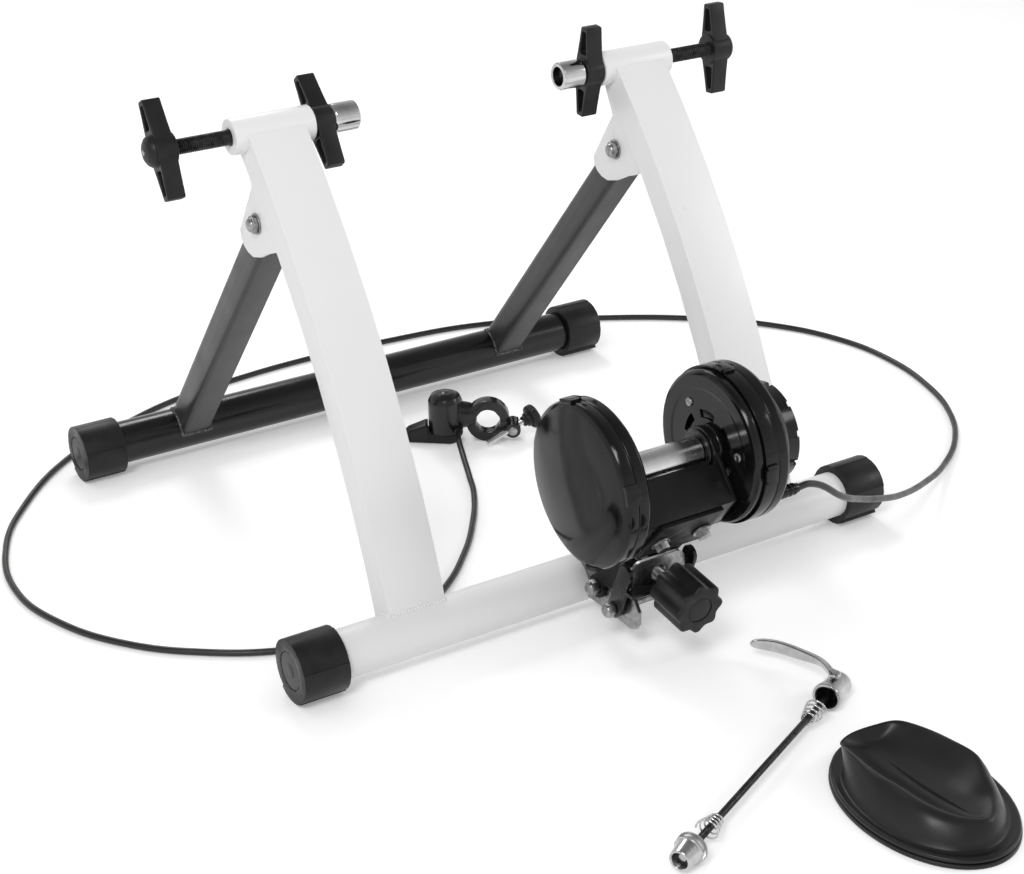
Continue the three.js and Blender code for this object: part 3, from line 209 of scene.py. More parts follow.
# The surround is white to the camera, darkens upwards in what the trainer mirrors, and lights the
# trainer with a part of its strength.
LIGHT_CAST, CEILING_SHADE = 0.55, 0.8
surround = bpy.data.worlds.new("surround")
bpy.context.scene.world = surround
surround.use_nodes = True
sky = surround.node_tree.nodes["Background"]
sky.inputs["Color"].default_value = grey(1)
camera_sees, gloss_sees, glass_sees = seen_by_rays(surround.node_tree)
heading = add_node(surround.node_tree, "TexCoord", output="Generated")
height = add_node(surround.node_tree, "SeparateXYZ", output="Z", Vector=heading)
ceiling = height.above(0.0) * CEILING_SHADE
mirrored = (gloss_sees + glass_sees) * ((1 - LIGHT_CAST) - ceiling)
connect(surround.node_tree, sky.inputs["Strength"],
        camera_sees * (1 - LIGHT_CAST) + mirrored + LIGHT_CAST)

# The control cable: a steel wire in a smooth black plastic sheath, 5.4 mm across and stiff enough
# to stand in wide arcs. It leaves the magnet housing, loops round the trainer and ends in the
# shifter. It lies on the floor and rises to the gland.
# The route is in mm. Its Y, as that of the loose items, starts halfway between the base tubes, and
# STAND_MIDDLE is where that is in the frame.
STAND_MIDDLE = 193.877
CABLE_ROUTE = (
    (94.3, -333, 124), (106, -333, 124), (144, -327, 100), (184, -304, 76), (227, -285, 56),
    (262, -267, 41), (324, -231, 20), (380, -196, 7), (429, -158, 3.6), (463, -116, 3.1),
    (489, -59, 3), (502, 20, 3), (492, 86, 3), (459, 150, 3), (408, 204, 3), (322, 264, 3),
    (210, 317, 3), (98, 334, 3), (10, 337, 3), (-68, 331, 3), (-136, 319, 3), (-205, 291, 3),
    (-269, 254, 3), (-333, 188, 3), (-372, 124, 3), (-390, 45, 3), (-378, -18, 3),
    (-346, -76, 3), (-302, -119, 3), (-250, -150, 3), (-205, -162, 3), (-166, -166, 3),
    (-130, -156, 3), (-95, -133, 3), (-57, -96, 3), (-28, -60, 3), (5, -8, 3.1), (19, 24, 3.8),
    (31, 56, 9.5), (39.2, 76.6, 14), (44.4, 85.1, 14),
)
sheath = Finish("cable_sheath", Base_Color=grey(0.011))
sheath.set(Normal=sheath.bump(sheath.cloud(1800), 0.00012, 0.5),
           Roughness=sheath.ramp(sheath.cloud(90), (0.3, 0.28), (0.7, 0.46)))


def chosen(piece):
    """Makes a piece the only one that is selected, and the active one."""
    bpy.ops.object.select_all(action="DESELECT")
    piece.select_set(True)
    bpy.context.view_layer.objects.active = piece
    return piece


def added(name, data):
    """A new object with that data, chosen."""
    made = bpy.data.objects.new(name, data)
    bpy.context.collection.objects.link(made)
    return chosen(made)


def round_line(name, radius, resolution):
    """A curve that becomes a round rod of that radius."""
    line = bpy.data.curves.new(name, "CURVE")
    line.dimensions = "3D"
    line.bevel_depth, line.bevel_resolution = radius, resolution
    return line


CABLE_RADIUS = 0.0027
cable_line = round_line("control_cable", CABLE_RADIUS, 5)
cable_line.resolution_u = 10
run = cable_line.splines.new("BEZIER")
run.bezier_points.add(len(CABLE_ROUTE) - 1)
for knot, (x, y, z) in zip(run.bezier_points, CABLE_ROUTE):
    knot.co = (x / 1000, (y + STAND_MIDDLE) / 1000, z / 1000)
    knot.handle_left_type = knot.handle_right_type = "AUTO"
cable_line.materials.append(sheath.material)
control_cable = added("control_cable", cable_line)
bpy.ops.object.convert(target="MESH")
# The middles of the tube's rings are the line that the cord follows.
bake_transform(control_cable)
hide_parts("cable")

# Base tubes: two round steel tubes, 38 mm across. The front one is powder coated white with the
# legs, the rear one gloss black, and both run into their feet.
TUBE_RADIUS, TUBE_BORE = 19, 17.6


def outward(piece, merge=None):
    """Turns a chosen piece's faces outwards, after it has merged its doubles where asked."""
    bpy.ops.object.mode_set(mode="EDIT")
    bpy.ops.mesh.select_all(action="SELECT")
    if merge:
        bpy.ops.mesh.remove_doubles(threshold=merge)
    bpy.ops.mesh.normals_make_consistent(inside=False)
    bpy.ops.object.mode_set(mode="OBJECT")
    return piece


def turned(name, profile, steps, closed=False):
    """Turns a profile of (along, radius) points in mm about the X axis, ring by ring."""
    start, radius = profile[0]
    bpy.ops.mesh.primitive_circle_add(vertices=steps, radius=radius, location=(start, 0, 0),
                                      rotation=(0, math.pi / 2, 0))
    bpy.ops.object.transform_apply()
    made = bpy.context.object
    made.name = made.data.name = name
    bpy.ops.object.mode_set(mode="EDIT")
    bpy.ops.mesh.select_all(action="SELECT")
    for (before, small), (along, wide) in zip(profile, profile[1:]):
        bpy.ops.mesh.extrude_region_move(TRANSFORM_OT_translate={"value": (along - before, 0, 0)})
        bpy.ops.transform.resize(value=(1, wide / small, wide / small),
                                 center_override=(along, 0, 0))
    bpy.ops.mesh.select_all(action="DESELECT")
    bpy.ops.mesh.select_non_manifold()
    if closed:
        bpy.ops.mesh.bridge_edge_loops()
    else:
        bpy.ops.mesh.edge_face_add()
        bpy.ops.mesh.fill_holes(sides=0)
    bpy.ops.object.mode_set(mode="OBJECT")
    return outward(made)


def softened(profile, radius, closed=False):
    """The same profile with its corners rounded to the radius where its sides are long enough."""
    nearly_straight, shortest, share_of_side = math.radians(170), 0.02, 0.45
    count = len(profile)
    result = []
    for i, point in enumerate(profile):
        here = Vector(point)
        if not closed and i in (0, count - 1):
            result.append(tuple(here))
            continue
        back, on = Vector(profile[i - 1]) - here, Vector(profile[(i + 1) % count]) - here
        turn = back.angle(on, math.pi)
        reach = min(radius / max(math.tan(turn / 2), 0.1), back.length * share_of_side,
                    on.length * share_of_side)
        if turn > nearly_straight or reach < shortest:
            result.append(tuple(here))
            continue
        first, last = here + back.normalized() * reach, here + on.normalized() * reach
        for share in (0, 0.33, 0.67, 1):
            low, high = first.lerp(here, share), here.lerp(last, share)
            result.append(tuple(low.lerp(high, share)))
    return result


def lathed(name, profile, rounding, steps, closed=False):
    """A turned piece whose corners are rounded."""
    return turned(name, softened(profile, rounding, closed), steps, closed)


def settle(piece, place, angle=35):
    """Puts a piece made in millimetres at its place in metres and smooths its shading."""
    piece.data.transform(place @ Matrix.Scale(0.001, 4))
    chosen(piece)
    bpy.ops.object.shade_smooth_by_angle(angle=math.radians(angle))
    return piece


def wear(piece, finish, body, slot, *nodes):
    """Gives a piece its finish, the body that it moves with and the nodes that it stands for."""
    piece.data.materials.clear()
    piece.data.materials.append(finish.material)
    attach(piece, body)
    if nodes:
        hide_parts(*nodes)
    return piece


def middle(node):
    low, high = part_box(node)
    return (low + high) / 2


def at(x, y, z):
    """A place in mm."""
    return Matrix.Translation((x / 1000, y / 1000, z / 1000))


def facing(sign):
    """Turns a piece whose outer end points to +X round for the left side, where the sign is -1."""
    return Matrix.Rotation(math.pi if sign < 0 else 0, 4, "Z")


def coat(name, level, rough, shine=0.5):
    """Powder coat: a faint orange peel with small changes of gloss."""
    paint = Finish(name, Base_Color=grey(level), Specular_IOR_Level=shine)
    peel = paint.cloud(420, 2) + paint.cloud(90, 2) * 0.6
    return paint.set(
        Normal=paint.bump(peel, 0.00035, 0.16),
        Roughness=paint.ramp(paint.cloud(35), (0.25, rough - 0.05), (0.75, rough + 0.07)))


white_coat = coat("white_powder_coat", 0.84, 0.32)
black_coat = coat("black_powder_coat", 0.006, 0.2, 0.4)
for end, coating, slot in (
        ("front", white_coat, "white_paint"), ("rear", black_coat, "black_paint")):
    node = end + "_base_tube"
    low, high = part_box(node)
    half = (high.x - low.x) * 1000 / 2
    tube = turned(end + "_tube", [(-half, TUBE_BORE), (-half, TUBE_RADIUS), (half, TUBE_RADIUS),
                                  (half, TUBE_BORE)], 72, True)
    settle(tube, Matrix.Translation(middle(node)))
    wear(tube, coating, end + "_frame", slot, node)

# Feet: moulded plastic cams of five sectors, each a little nearer the tube than the last, so that
# turning a foot levels the stand. A round plate of a lighter grey stands in the end face.
moulded = Finish("moulded_black_plastic", Specular_IOR_Level=0.3)
moulded.set(
    Normal=moulded.bump(moulded.cloud(2600, 2), 0.00009, 0.5),
    Base_Color=moulded.ramp(moulded.cloud(60), (0.3, 0.006), (0.7, 0.014)),
    Roughness=moulded.ramp(moulded.cloud(45), (0.3, 0.34), (0.75, 0.52)))
FOOT_RADIUS, FACE_LAP = 0.026, 0.0002
foot_face = Finish("foot_end_face", Roughness=0.5)
foot_face.set(Normal=foot_face.bump(foot_face.cloud(2400, 2), 0.0001, 0.6),
              Base_Color=foot_face.ramp(foot_face.cloud(70), (0.3, 0.026), (0.7, 0.046)))


def dressed(node, name, bevel, segments=3, flat=1.0):
    """A copy of a node with its flat faces whole again and its edges rounded, in metres."""
    merge, sharp, smooth = 0.00001, math.radians(25), math.radians(35)
    copy = frame["nodes"][node].copy()
    copy.data = frame["nodes"][node].data.copy()
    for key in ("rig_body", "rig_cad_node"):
        del copy[key]
    copy.parent = None
    copy.name = copy.data.name = name
    bpy.context.collection.objects.link(copy)
    chosen(copy).data.materials.clear()
    bpy.ops.object.mode_set(mode="EDIT")
    bpy.ops.mesh.select_all(action="SELECT")
    bpy.ops.mesh.remove_doubles(threshold=merge)
    bpy.ops.mesh.dissolve_limited(angle_limit=math.radians(flat))
    bpy.ops.object.mode_set(mode="OBJECT")
    if bevel:
        edge = copy.modifiers.new("edges", "BEVEL")
        edge.width, edge.segments = bevel / 1000, segments
        edge.limit_method, edge.angle_limit = "ANGLE", sharp
        edge.miter_outer = "MITER_ARC"
        bpy.ops.object.modifier_apply(modifier="edges")
    bpy.ops.object.shade_smooth_by_angle(angle=smooth)
    return copy


for end in ("front", "rear"):
    for side, sign in (("left", -1), ("right", 1)):
        node = f"{end}_{side}_foot"
        cap = dressed(node, f"{end}_{side}_cap", 0.9)
        wear(cap, moulded, node, "matte_plastic", node)
        hub = lathed(f"{end}_{side}_cap_face", [
            (0, 2), (0, 14.6), (-1.5, 14.6), (-1.5, 13.2), (-0.9, 12.6), (-0.9, 2)], 0.3, 56)
        low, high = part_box(node)
        outer = high.x if sign > 0 else low.x
        seat = Matrix.Translation(
            (outer - sign * FACE_LAP, middle(end + "_base_tube").y, FOOT_RADIUS))
        settle(hub, seat @ facing(sign))
        wear(hub, foot_face, node, "matte_plastic")

# Front legs: rectangular steel tube bent to an arc, mitred on the front tube and welded round.
# The white coat runs plain from end to end.


def bead(name, leg, tube_node, thick, finish, body, slot):
    """A weld bead that follows the line where a leg's end meets a round tube."""
    centre = middle(tube_node)
    radius, proud, station = TUBE_RADIUS / 1000, 0.0002, 0.0009
    near = []
    for vertex in frame["nodes"][leg].data.vertices:
        y, z = vertex.co.y - centre.y, vertex.co.z - centre.z
        if math.hypot(y, z) < radius + 3 * proud:
            near.append((vertex.co.x, math.atan2(z, y)))
    left, right = min(x for x, _ in near), max(x for x, _ in near)
    low, high = min(a for _, a in near), max(a for _, a in near)
    corners = [(left, low), (right, low), (right, high), (left, high)]
    line = round_line(name, thick / 1000, 3)
    run = line.splines.new("POLY")
    stops = []
    for (x0, a0), (x1, a1) in zip(corners, corners[1:] + corners[:1]):
        count = max(4, round(math.hypot(x1 - x0, (a1 - a0) * radius) / station))
        for i in range(count):
            stops.append((x0 + (x1 - x0) * i / count, a0 + (a1 - a0) * i / count))
    run.points.add(len(stops) - 1)
    run.use_cyclic_u = True
    # The bead swells and thins as one laid by hand does.
    for i, (point, (x, angle)) in enumerate(zip(run.points, stops)):
        point.co = (x, centre.y + (radius + proud) * math.cos(angle),
                    centre.z + (radius + proud) * math.sin(angle), 1)
        point.radius = 0.9 + 0.22 * math.sin(i * 2.1) + 0.1 * math.sin(i * 0.37)
    made = added(name, line)
    bpy.ops.object.convert(target="MESH")
    bpy.ops.object.shade_smooth_by_angle(angle=math.radians(50))
    wear(made, finish, body, slot)


for side in ("left", "right"):
    leg = dressed(side + "_leg", side + "_front_leg", 2.4, 4)
    wear(leg, white_coat, "front_frame", "white_paint", side + "_leg")
    bead(side + "_leg_weld", side + "_leg", "front_base_tube", 1.5, white_coat, "front_frame",
         "white_paint")

# Axle sleeves and hinge brackets: a sleeve lies across the top of each leg, and a bracket folded
# from 3 mm sheet is welded behind the leg and under the sleeve. Both carry the same white coat.
for side in ("left", "right"):
    node = side + "_axle_sleeve"
    sleeve = lathed(side + "_sleeve", [
        (-33.5, 6.4), (-33.5, 14), (33.5, 14), (33.5, 6.4)], 1.1, 64, True)
    settle(sleeve, Matrix.Translation(middle(node)))
    wear(sleeve, white_coat, "front_frame", "white_paint", node)
    plate = dressed(side + "_hinge_bracket", side + "_bracket", 0.8)
    wear(plate, white_coat, "front_frame", "white_paint", side + "_hinge_bracket")

# Pivot bolts: zinc plated hexagon bolts, each with a washer and a bright dome nut on its left
# end, on which the rear legs fold.
zinc = Finish("zinc_plate", Metallic=1.0)
spangle = zinc.cloud(260, 4)
zinc.set(Base_Color=zinc.ramp(spangle, (0.3, 0.22), (0.72, 0.42)),
         Roughness=zinc.ramp(zinc.cloud(700, 4), (0.3, 0.26), (0.75, 0.44)),
         Normal=zinc.bump(zinc.cloud(1500, 3), 0.00006, 0.4))
# Points of a new piece that are nearer than this, in mm, become one.
MERGE = 0.001


def prism(name, outline, low, high, bevel, holes=(), segments=2):
    """An outline of (y, z) points in mm, pushed along X from low to high, with rounded edges."""
    line = bpy.data.curves.new(name, "CURVE")
    line.dimensions = "2D"
    line.fill_mode = "BOTH"
    for loop in (outline, *holes):
        run = line.splines.new("POLY")
        run.points.add(len(loop) - 1)
        run.use_cyclic_u = True
        for point, (u, v) in zip(run.points, loop):
            point.co = (u, v, 0, 1)
    line.extrude = (high - low) / 2 - bevel
    line.bevel_depth = bevel
    line.offset = -bevel
    line.bevel_resolution = segments
    made = added(name, line)
    bpy.ops.object.convert(target="MESH")
    made.data.transform(Matrix(
        ((0, 0, 1, (low + high) / 2), (1, 0, 0, 0), (0, 1, 0, 0), (0, 0, 0, 1))))
    return outward(made, MERGE)


def welded(name, *parts):
    """Several meshes made one piece, each still a closed shell."""
    bpy.ops.object.select_all(action="DESELECT")
    for part in parts:
        part.select_set(True)
    bpy.context.view_layer.objects.active = parts[0]
    bpy.ops.object.join()
    parts[0].name = parts[0].data.name = name
    return parts[0]


def lobed(radius, steps, depth=0, lobes=0):
    """A round outline, or a polygon where the steps are few, with lobes where asked, in mm."""
    turns = [2 * math.pi * i / steps for i in range(steps)]
    return [((radius + depth * math.cos(lobes * turn)) * math.cos(turn),
             (radius + depth * math.cos(lobes * turn)) * math.sin(turn)) for turn in turns]


for side in ("left", "right"):
    node = side + "_pivot_nut"
    low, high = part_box(node)
    nut = welded(
        side + "_dome_nut",
        lathed("washer", [(0, 4.2), (0, 8.3), (1.1, 8.3), (1.1, 4.2)], 0.3, 48, True),
        prism("hexagon", lobed(7.3, 6), 1.2, 4.8, 0.45),
        turned("dome", [
            (4.4, 5.6), (5.4, 5.5), (6.6, 4.9), (7.5, 3.8), (8, 2.2), (8.1, 0.6)], 40))
    settle(nut, Matrix.Translation((high.x, middle(node).y, middle(node).z)) @ facing(-1))
    wear(nut, zinc, "front_frame", "zinc_steel", node)
    bolt = dressed(side + "_pivot_bolt", side + "_hinge_bolt", 0.4)
    wear(bolt, zinc, "front_frame", "zinc_steel", side + "_pivot_bolt")

# Rear legs: square steel tube in dark grey satin coat, cut round the rear tube and welded to it
# with a bead that stands out bright under the black.
grey_coat = coat("grey_powder_coat", 0.032, 0.34, 0.35)
weld_metal = Finish("weld_metal", Metallic=0.4, Roughness=0.4)
weld_metal.set(Base_Color=weld_metal.ramp(weld_metal.cloud(500), (0.35, 0.02), (0.7, 0.16)))
for side in ("left", "right"):
    leg = dressed(side + "_rear_leg", side + "_back_leg", 0)
    wear(leg, grey_coat, "rear_frame", "grey_paint", side + "_rear_leg")
    bead(side + "_rear_weld", side + "_rear_leg", "rear_base_tube", 1.7, weld_metal, "rear_frame",
         "grey_paint")

# Axle clamps: black oxide threaded rods with a 1.75 mm pitch, a chrome cup on the inner end of
# each, and two-armed moulded handles: one locks the rod, the other turns it.
oxide = Finish("black_oxide_steel", Metallic=0.8)
oxide.set(Base_Color=oxide.ramp(oxide.cloud(240, 3), (0.3, 0.016), (0.75, 0.055)),
          Roughness=oxide.ramp(oxide.cloud(500, 3), (0.3, 0.24), (0.7, 0.4)))
chrome = Finish("chrome_plate", Metallic=1.0)
chrome.set(Base_Color=chrome.ramp(chrome.cloud(60), (0.3, 0.46), (0.7, 0.62)),
           Roughness=chrome.ramp(chrome.cloud(30, 2), (0.3, 0.06), (0.75, 0.17)),
           Normal=chrome.bump(chrome.cloud(900, 2), 0.00003, 0.3))


def threaded(name, radius, low, high, pitch, depth):
    """A rod with a real helical thread, wound from one ridge of its profile, in mm."""
    mesh = bpy.data.meshes.new(name)
    mesh.from_pydata([(low, 0, radius - depth), (low + 0.35 * pitch, 0, radius),
                      (low + 0.55 * pitch, 0, radius), (low + pitch, 0, radius - depth)],
                     [(0, 1), (1, 2), (2, 3)], [])
    rod = added(name, mesh)
    wind = rod.modifiers.new("wind", "SCREW")
    wind.axis, wind.angle, wind.screw_offset = "X", 2 * math.pi, pitch
    wind.steps = wind.render_steps = 24
    wind.iterations = int((high - low) / pitch) - 1
    wind.use_merge_vertices, wind.merge_threshold = True, MERGE
    bpy.ops.object.modifier_apply(modifier="wind")
    bpy.ops.object.mode_set(mode="EDIT")
    bpy.ops.mesh.select_all(action="SELECT")
    bpy.ops.mesh.remove_doubles(threshold=MERGE)
    bpy.ops.mesh.fill_holes(sides=0)
    bpy.ops.object.mode_set(mode="OBJECT")
    return outward(rod)


# The arms' place along an outer handle, their reach and half their thickness, in mm.
HUB_MIDDLE, ARM_REACH, ARM_HALF = 8.5, 38, 7.2


def arms(reach, flank, slot):
    """The outline of a handle's two arms and the slots through them, as (y, z) points in mm."""
    side = [(half, share * reach) for half, share in flank]
    half = flank[-1][0]
    side += [(half - 0.5, reach - 0.5), (half - 1.6, reach)]
    arm = side + [(-u, v) for u, v in reversed(side)]
    low, high, wide, narrow = slot
    hole = [(wide, low), (narrow, high), (narrow - 0.9, high + 1), (0.9 - narrow, high + 1),
            (-narrow, high), (-wide, low), (-wide + 1.2, low - 1.2), (wide - 1.2, low - 1.2)]
    return arm + [(-u, -v) for u, v in arm], [hole, [(-u, -v) for u, v in hole]]


for side, sign, lock_tilt, turn_tilt in (("left", -1, 38.4, 27.6), ("right", 1, -5.5, 4.7)):
    line = Matrix.Translation((0, middle(side + "_axle_cup").y, middle(side + "_axle_cup").z))
    out = line @ facing(sign)
    inner, outer = sorted(abs(corner.x) * 1000 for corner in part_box(side + "_axle_rod"))
    rod = threaded(side + "_rod_thread", 6, inner, outer, 1.75, 0.75)
    settle(rod, out, 30)
    wear(rod, oxide, side + "_screw", "black_steel", side + "_axle_rod")
    cup = lathed(side + "_cup", [
        (93.7, 8), (93.7, 10.6), (94.6, 11.5), (113.6, 11.5), (115.7, 10), (115.7, 3),
        (110.7, 3), (110.7, 8)], 0.35, 72, True)
    settle(cup, out)
    wear(cup, chrome, side + "_clamp", "chrome", side + "_axle_cup")
    flank = ((11.3, 0.02), (9.4, 0.22), (7.4, 0.5), (5.8, 0.76), (4.8, 0.96))
    outline, holes = arms(ARM_REACH, flank, (16.5, 33, 4.4, 2.6))
    lean = {"lock": math.radians(-sign * lock_tilt), "turn": math.radians(-sign * turn_tilt)}
    for kind, body in (("lock", side + "_lock"), ("turn", side + "_screw")):
        start, end = sorted(abs(corner.x) * 1000 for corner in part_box(f"{side}_{kind}_handle"))
        if kind == "lock":
            hub = lathed("hub", [
                (start, 6.3), (start, 12.5), (end, 12.5), (end, 6.3)], 1.2, 56, True)
            centre = (start + end) / 2
        else:
            hub = lathed("hub", [
                (start, 6.2), (start, 12.4), (start + 16.2, 12.4), (start + 16.8, 11.6),
                (start + 17.4, 12.2), (start + 20, 10.6), (start + 22, 7.6), (end, 4.2)],
                0.8, 56)
            centre = start + HUB_MIDDLE
            rod_end = lathed("rod_end", [
                (end - 2, 2.2), (end + 0.5, 2.2), (end + 0.9, 1)], 0.3, 32)
            settle(rod_end, out)
            wear(rod_end, zinc, body, "zinc_steel")
        blade = prism("arms", outline, centre - ARM_HALF, centre + ARM_HALF, 0.9, holes, 3)
        handle = welded(f"{side}_{kind}_grip", hub, blade)
        settle(handle, out @ Matrix.Rotation(lean[kind], 4, "X"))
        wear(handle, moulded, body, "matte_plastic", f"{side}_{kind}_handle")

# Roller: a bright ground steel tube on a shaft that turns in two flanged bearings. The fine marks
# of grinding run round it. The roller unit's profiles start at the roller's middle.
bright = Finish("ground_steel", Metallic=1.0)
bright.set(Base_Color=bright.ramp(bright.cloud(1.0, 3, (700, 20, 20)), (0.3, 0.6), (0.75, 0.67)),
           Roughness=bright.ramp(bright.cloud(1.0, 2, (240, 20, 20)), (0.3, 0.2), (0.75, 0.28)),
           Normal=bright.bump(bright.cloud(1.0, 1, (160, 20, 20)), 0.00001, 0.1))
UNIT_TILT = math.radians(37.15)
unit_place = Matrix.Translation(middle("roller")) @ Matrix.Rotation(UNIT_TILT, 4, "X")
tube = lathed("roller_tube", [
    (-35, 6.4), (-35, 10.6), (-34.2, 11.5), (34.2, 11.5), (35, 10.6), (35, 6.4)], 0.3, 96, True)
wear(settle(tube, unit_place), bright, "drive", "brushed_steel", "roller")
low, high = (corner.x * 1000 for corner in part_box("roller_shaft"))
shaft = lathed("shaft", [(low, 3), (low, 6), (high, 6), (high, 3)], 0.5, 48)
wear(settle(shaft, unit_place), bright, "drive", "brushed_steel", "roller_shaft")
dark_steel = Finish("bearing_steel", Base_Color=grey(0.06), Metallic=1.0)
dark_steel.set(Roughness=dark_steel.ramp(dark_steel.cloud(300, 3), (0.3, 0.22), (0.7, 0.4)))
for side, sign in (("left", -1), ("right", 1)):
    race = lathed(side + "_race", [
        (35.8, 6.4), (35.8, 15.2), (36.4, 16), (37.7, 16), (37.7, 13), (42.8, 13), (42.8, 6.4)],
        0.3, 64, True)
    lip = lathed("lip", [
        (35.3, 7.6), (35.3, 12.4), (36.1, 12.4), (36.1, 7.6)], 0.2, 48, True)
    bearing = welded(side + "_flanged_bearing", race, lip)
    wear(settle(bearing, unit_place @ facing(sign)), dark_steel, "unit_arm", "brushed_steel",
         side + "_bearing")

# Flywheel and rotor: turned steel discs on the shaft, hidden in their housings, and the plate
# that holds a ring of magnets beside the rotor.
disc_steel = Finish("turned_disc_steel", Metallic=0.9)
disc_steel.set(Base_Color=disc_steel.ramp(disc_steel.cloud(120, 4), (0.3, 0.13), (0.7, 0.28)),
               Roughness=disc_steel.ramp(disc_steel.cloud(380, 3), (0.3, 0.3), (0.7, 0.5)))
wheel = lathed("flywheel_disc", [
    (-51.1, 6.4), (-51.1, 55), (-66.1, 55), (-66.1, 6.4)], 1.2, 96, True)
wear(settle(wheel, unit_place), disc_steel, "drive", "cast_steel", "flywheel")
for node, name, body in (
        ("rotor_disc", "rotor", "drive"), ("magnet_plate", "magnet_carrier", "magnets")):
    wear(dressed(node, name, 0.3), disc_steel, body, "cast_steel", node)

# Yoke: a U folded from 3 mm sheet with round ears for the bearings and a panel under the roller,
# whose free edge has a rolled lip, and the two zinc bolts that hold it on the swing arm.
gloss_paint = coat("gloss_black_paint", 0.008, 0.26, 0.35)
satin_paint = coat("satin_black_paint", 0.006, 0.46, 0.2)
roll = prism("roll", [(-18, 4.8), (-13.4, 4.8), (-13.4, 7.3), (-18, 7.3)], -35, 35, 1.1)
folded = welded("roller_yoke", dressed("yoke", "folded_yoke", 0.8), settle(roll, unit_place))
wear(folded, gloss_paint, "unit_arm", "black_steel", "yoke")
for side in ("left", "right"):
    wear(dressed(side + "_yoke_bolt", side + "_yoke_screw", 0.5), zinc, "unit_arm", "zinc_steel",
         side + "_yoke_bolt")

# Housings: glossy black mouldings, a domed pair round the flywheel on the left and a vented pair
# with a stepped cap round the magnets on the right. Clip tabs hold each pair across its seam.
gloss = Finish("gloss_black_moulding", Specular_IOR_Level=0.27)
gloss.set(Base_Color=gloss.ramp(gloss.cloud(40), (0.3, 0.003), (0.7, 0.008)),
          Roughness=gloss.ramp(gloss.cloud(1.0, 4, (60, 420, 60)), (0.3, 0.08), (0.8, 0.19)),
          Normal=gloss.bump(gloss.cloud(26, 1), 0.0016, 0.05))


def sector(radius, thick, angle, spread, count=10):
    """A curved strip round the X axis at an angle in degrees, as (y, z) points in mm."""
    turns = [math.radians(angle - spread + 2 * spread * i / count) for i in range(count + 1)]
    outer, inner = radius + thick / 2, radius - thick / 2
    return ([(-outer * math.sin(t), outer * math.cos(t)) for t in turns]
            + [(-inner * math.sin(t), inner * math.cos(t)) for t in reversed(turns)])


def carved(piece, *tools):
    """Cuts tools out of a piece and throws them away."""
    chosen(piece)
    for tool in tools:
        cut = piece.modifiers.new("cut", "BOOLEAN")
        cut.operation, cut.solver, cut.object = "DIFFERENCE", "EXACT", tool
        bpy.ops.object.modifier_apply(modifier="cut")
        bpy.data.objects.remove(tool)
    return piece


def clips(start, radius, *angles):
    """Clip tabs with a raised tongue, across a seam that starts at a place along the axis."""
    tabs = []
    for angle in angles:
        tabs.append(prism("tab", sector(radius, 3.9, angle, 6.9), start, start + 10, 0.7))
        tabs.append(prism("tongue", sector(radius + 1.0, 2.4, angle, 4.2), start - 1.4,
                          start + 8, 0.5))
    return tabs


mirror_side = Matrix.Rotation(math.pi, 4, "Y")
inner_case = lathed("flywheel_case_inner", [
    (41.3, 14.3), (41.3, 17.2), (48, 18), (48, 56), (49.2, 60.2), (51.8, 62.7), (60, 62.7),
    (60, 60.2), (50.5, 58.7), (50.5, 14.3)], 1.4, 96, True)
wear(settle(inner_case, unit_place @ mirror_side), gloss, "unit_arm", "gloss_plastic",
     "flywheel_inner_cover")
dome = lathed("dome", [
    (60.3, 60.2), (60.3, 62.7), (66.8, 62.7), (69.2, 61.4), (70.6, 58.4), (72.6, 50), (74.2, 40),
    (75.2, 28), (75.8, 14), (76, 4)], 0.9, 96)
outer_case = welded("flywheel_case_outer", dome, *clips(60.3, 62.7, 53, 143, 233))
wear(settle(outer_case, unit_place @ mirror_side), gloss, "unit_arm", "gloss_plastic",
     "flywheel_outer_cover")
vented = lathed("rotor_case_inner", [
    (41.3, 14.3), (41.3, 17.2), (44.4, 17.6), (45.6, 18.6), (45.6, 44), (45.1, 46), (45.1, 55.4),
    (46, 57.6), (48.2, 59), (53, 59), (53, 56.5), (48, 55.4), (48, 14.3)], 0.8, 96, True)
VENTS, FIRST_VENT = 6, 78.3
vents = [prism("vent", sector(26, 6.4, FIRST_VENT - 360 / VENTS * i, 18.5, 14), 40, 52, 0.05)
         for i in range(VENTS)]
carved(vented, *vents)
wear(settle(vented, unit_place), gloss, "unit_arm", "gloss_plastic", "rotor_inner_cover")
SCREW_CIRCLE = 37
cover_screws = []
for angle in (-77, 43, 163):
    pan = lathed("pan", [
        (45.9, 3.6), (45.2, 3.6), (44.2, 3.2), (43.9, 1.6), (44.4, 1.3), (44.4, 0.6)], 0.2, 28)
    pan.data.transform(
        Matrix.Rotation(math.radians(angle), 4, "X") @ Matrix.Translation((0, 0, SCREW_CIRCLE)))
    cover_screws.append(pan)
wear(settle(welded("cover_screws", *cover_screws), unit_place), zinc, "unit_arm", "zinc_steel")
shell = lathed("shell", [
    (53.3, 58.5), (53.3, 61), (63.5, 61), (64.1, 60.3), (65.3, 60.3), (65.9, 61), (72.6, 61),
    (75, 59.9), (76, 57.6), (76, 40), (73.5, 40), (73.5, 58.5)], 0.5, 96, True)
gland = lathed("gland", [
    (74, 2), (74, 5), (82, 5), (82.6, 4.2), (84.2, 4.2), (84.8, 4.9), (86.4, 4.9), (87, 4.2),
    (88.6, 4.2), (89.2, 4.7), (90.6, 4.7), (91.2, 4), (94, 3.8), (94, 2.9), (92, 2.8)], 0.25, 40)
gland.data.transform(Matrix.Translation((0, -54.1, 7.1)))
ring_case = welded("magnet_case", shell, gland, *clips(53.3, 61, -37, 53, 143, 233))
wear(settle(ring_case, unit_place), gloss, "unit_arm", "gloss_plastic", "magnet_housing")
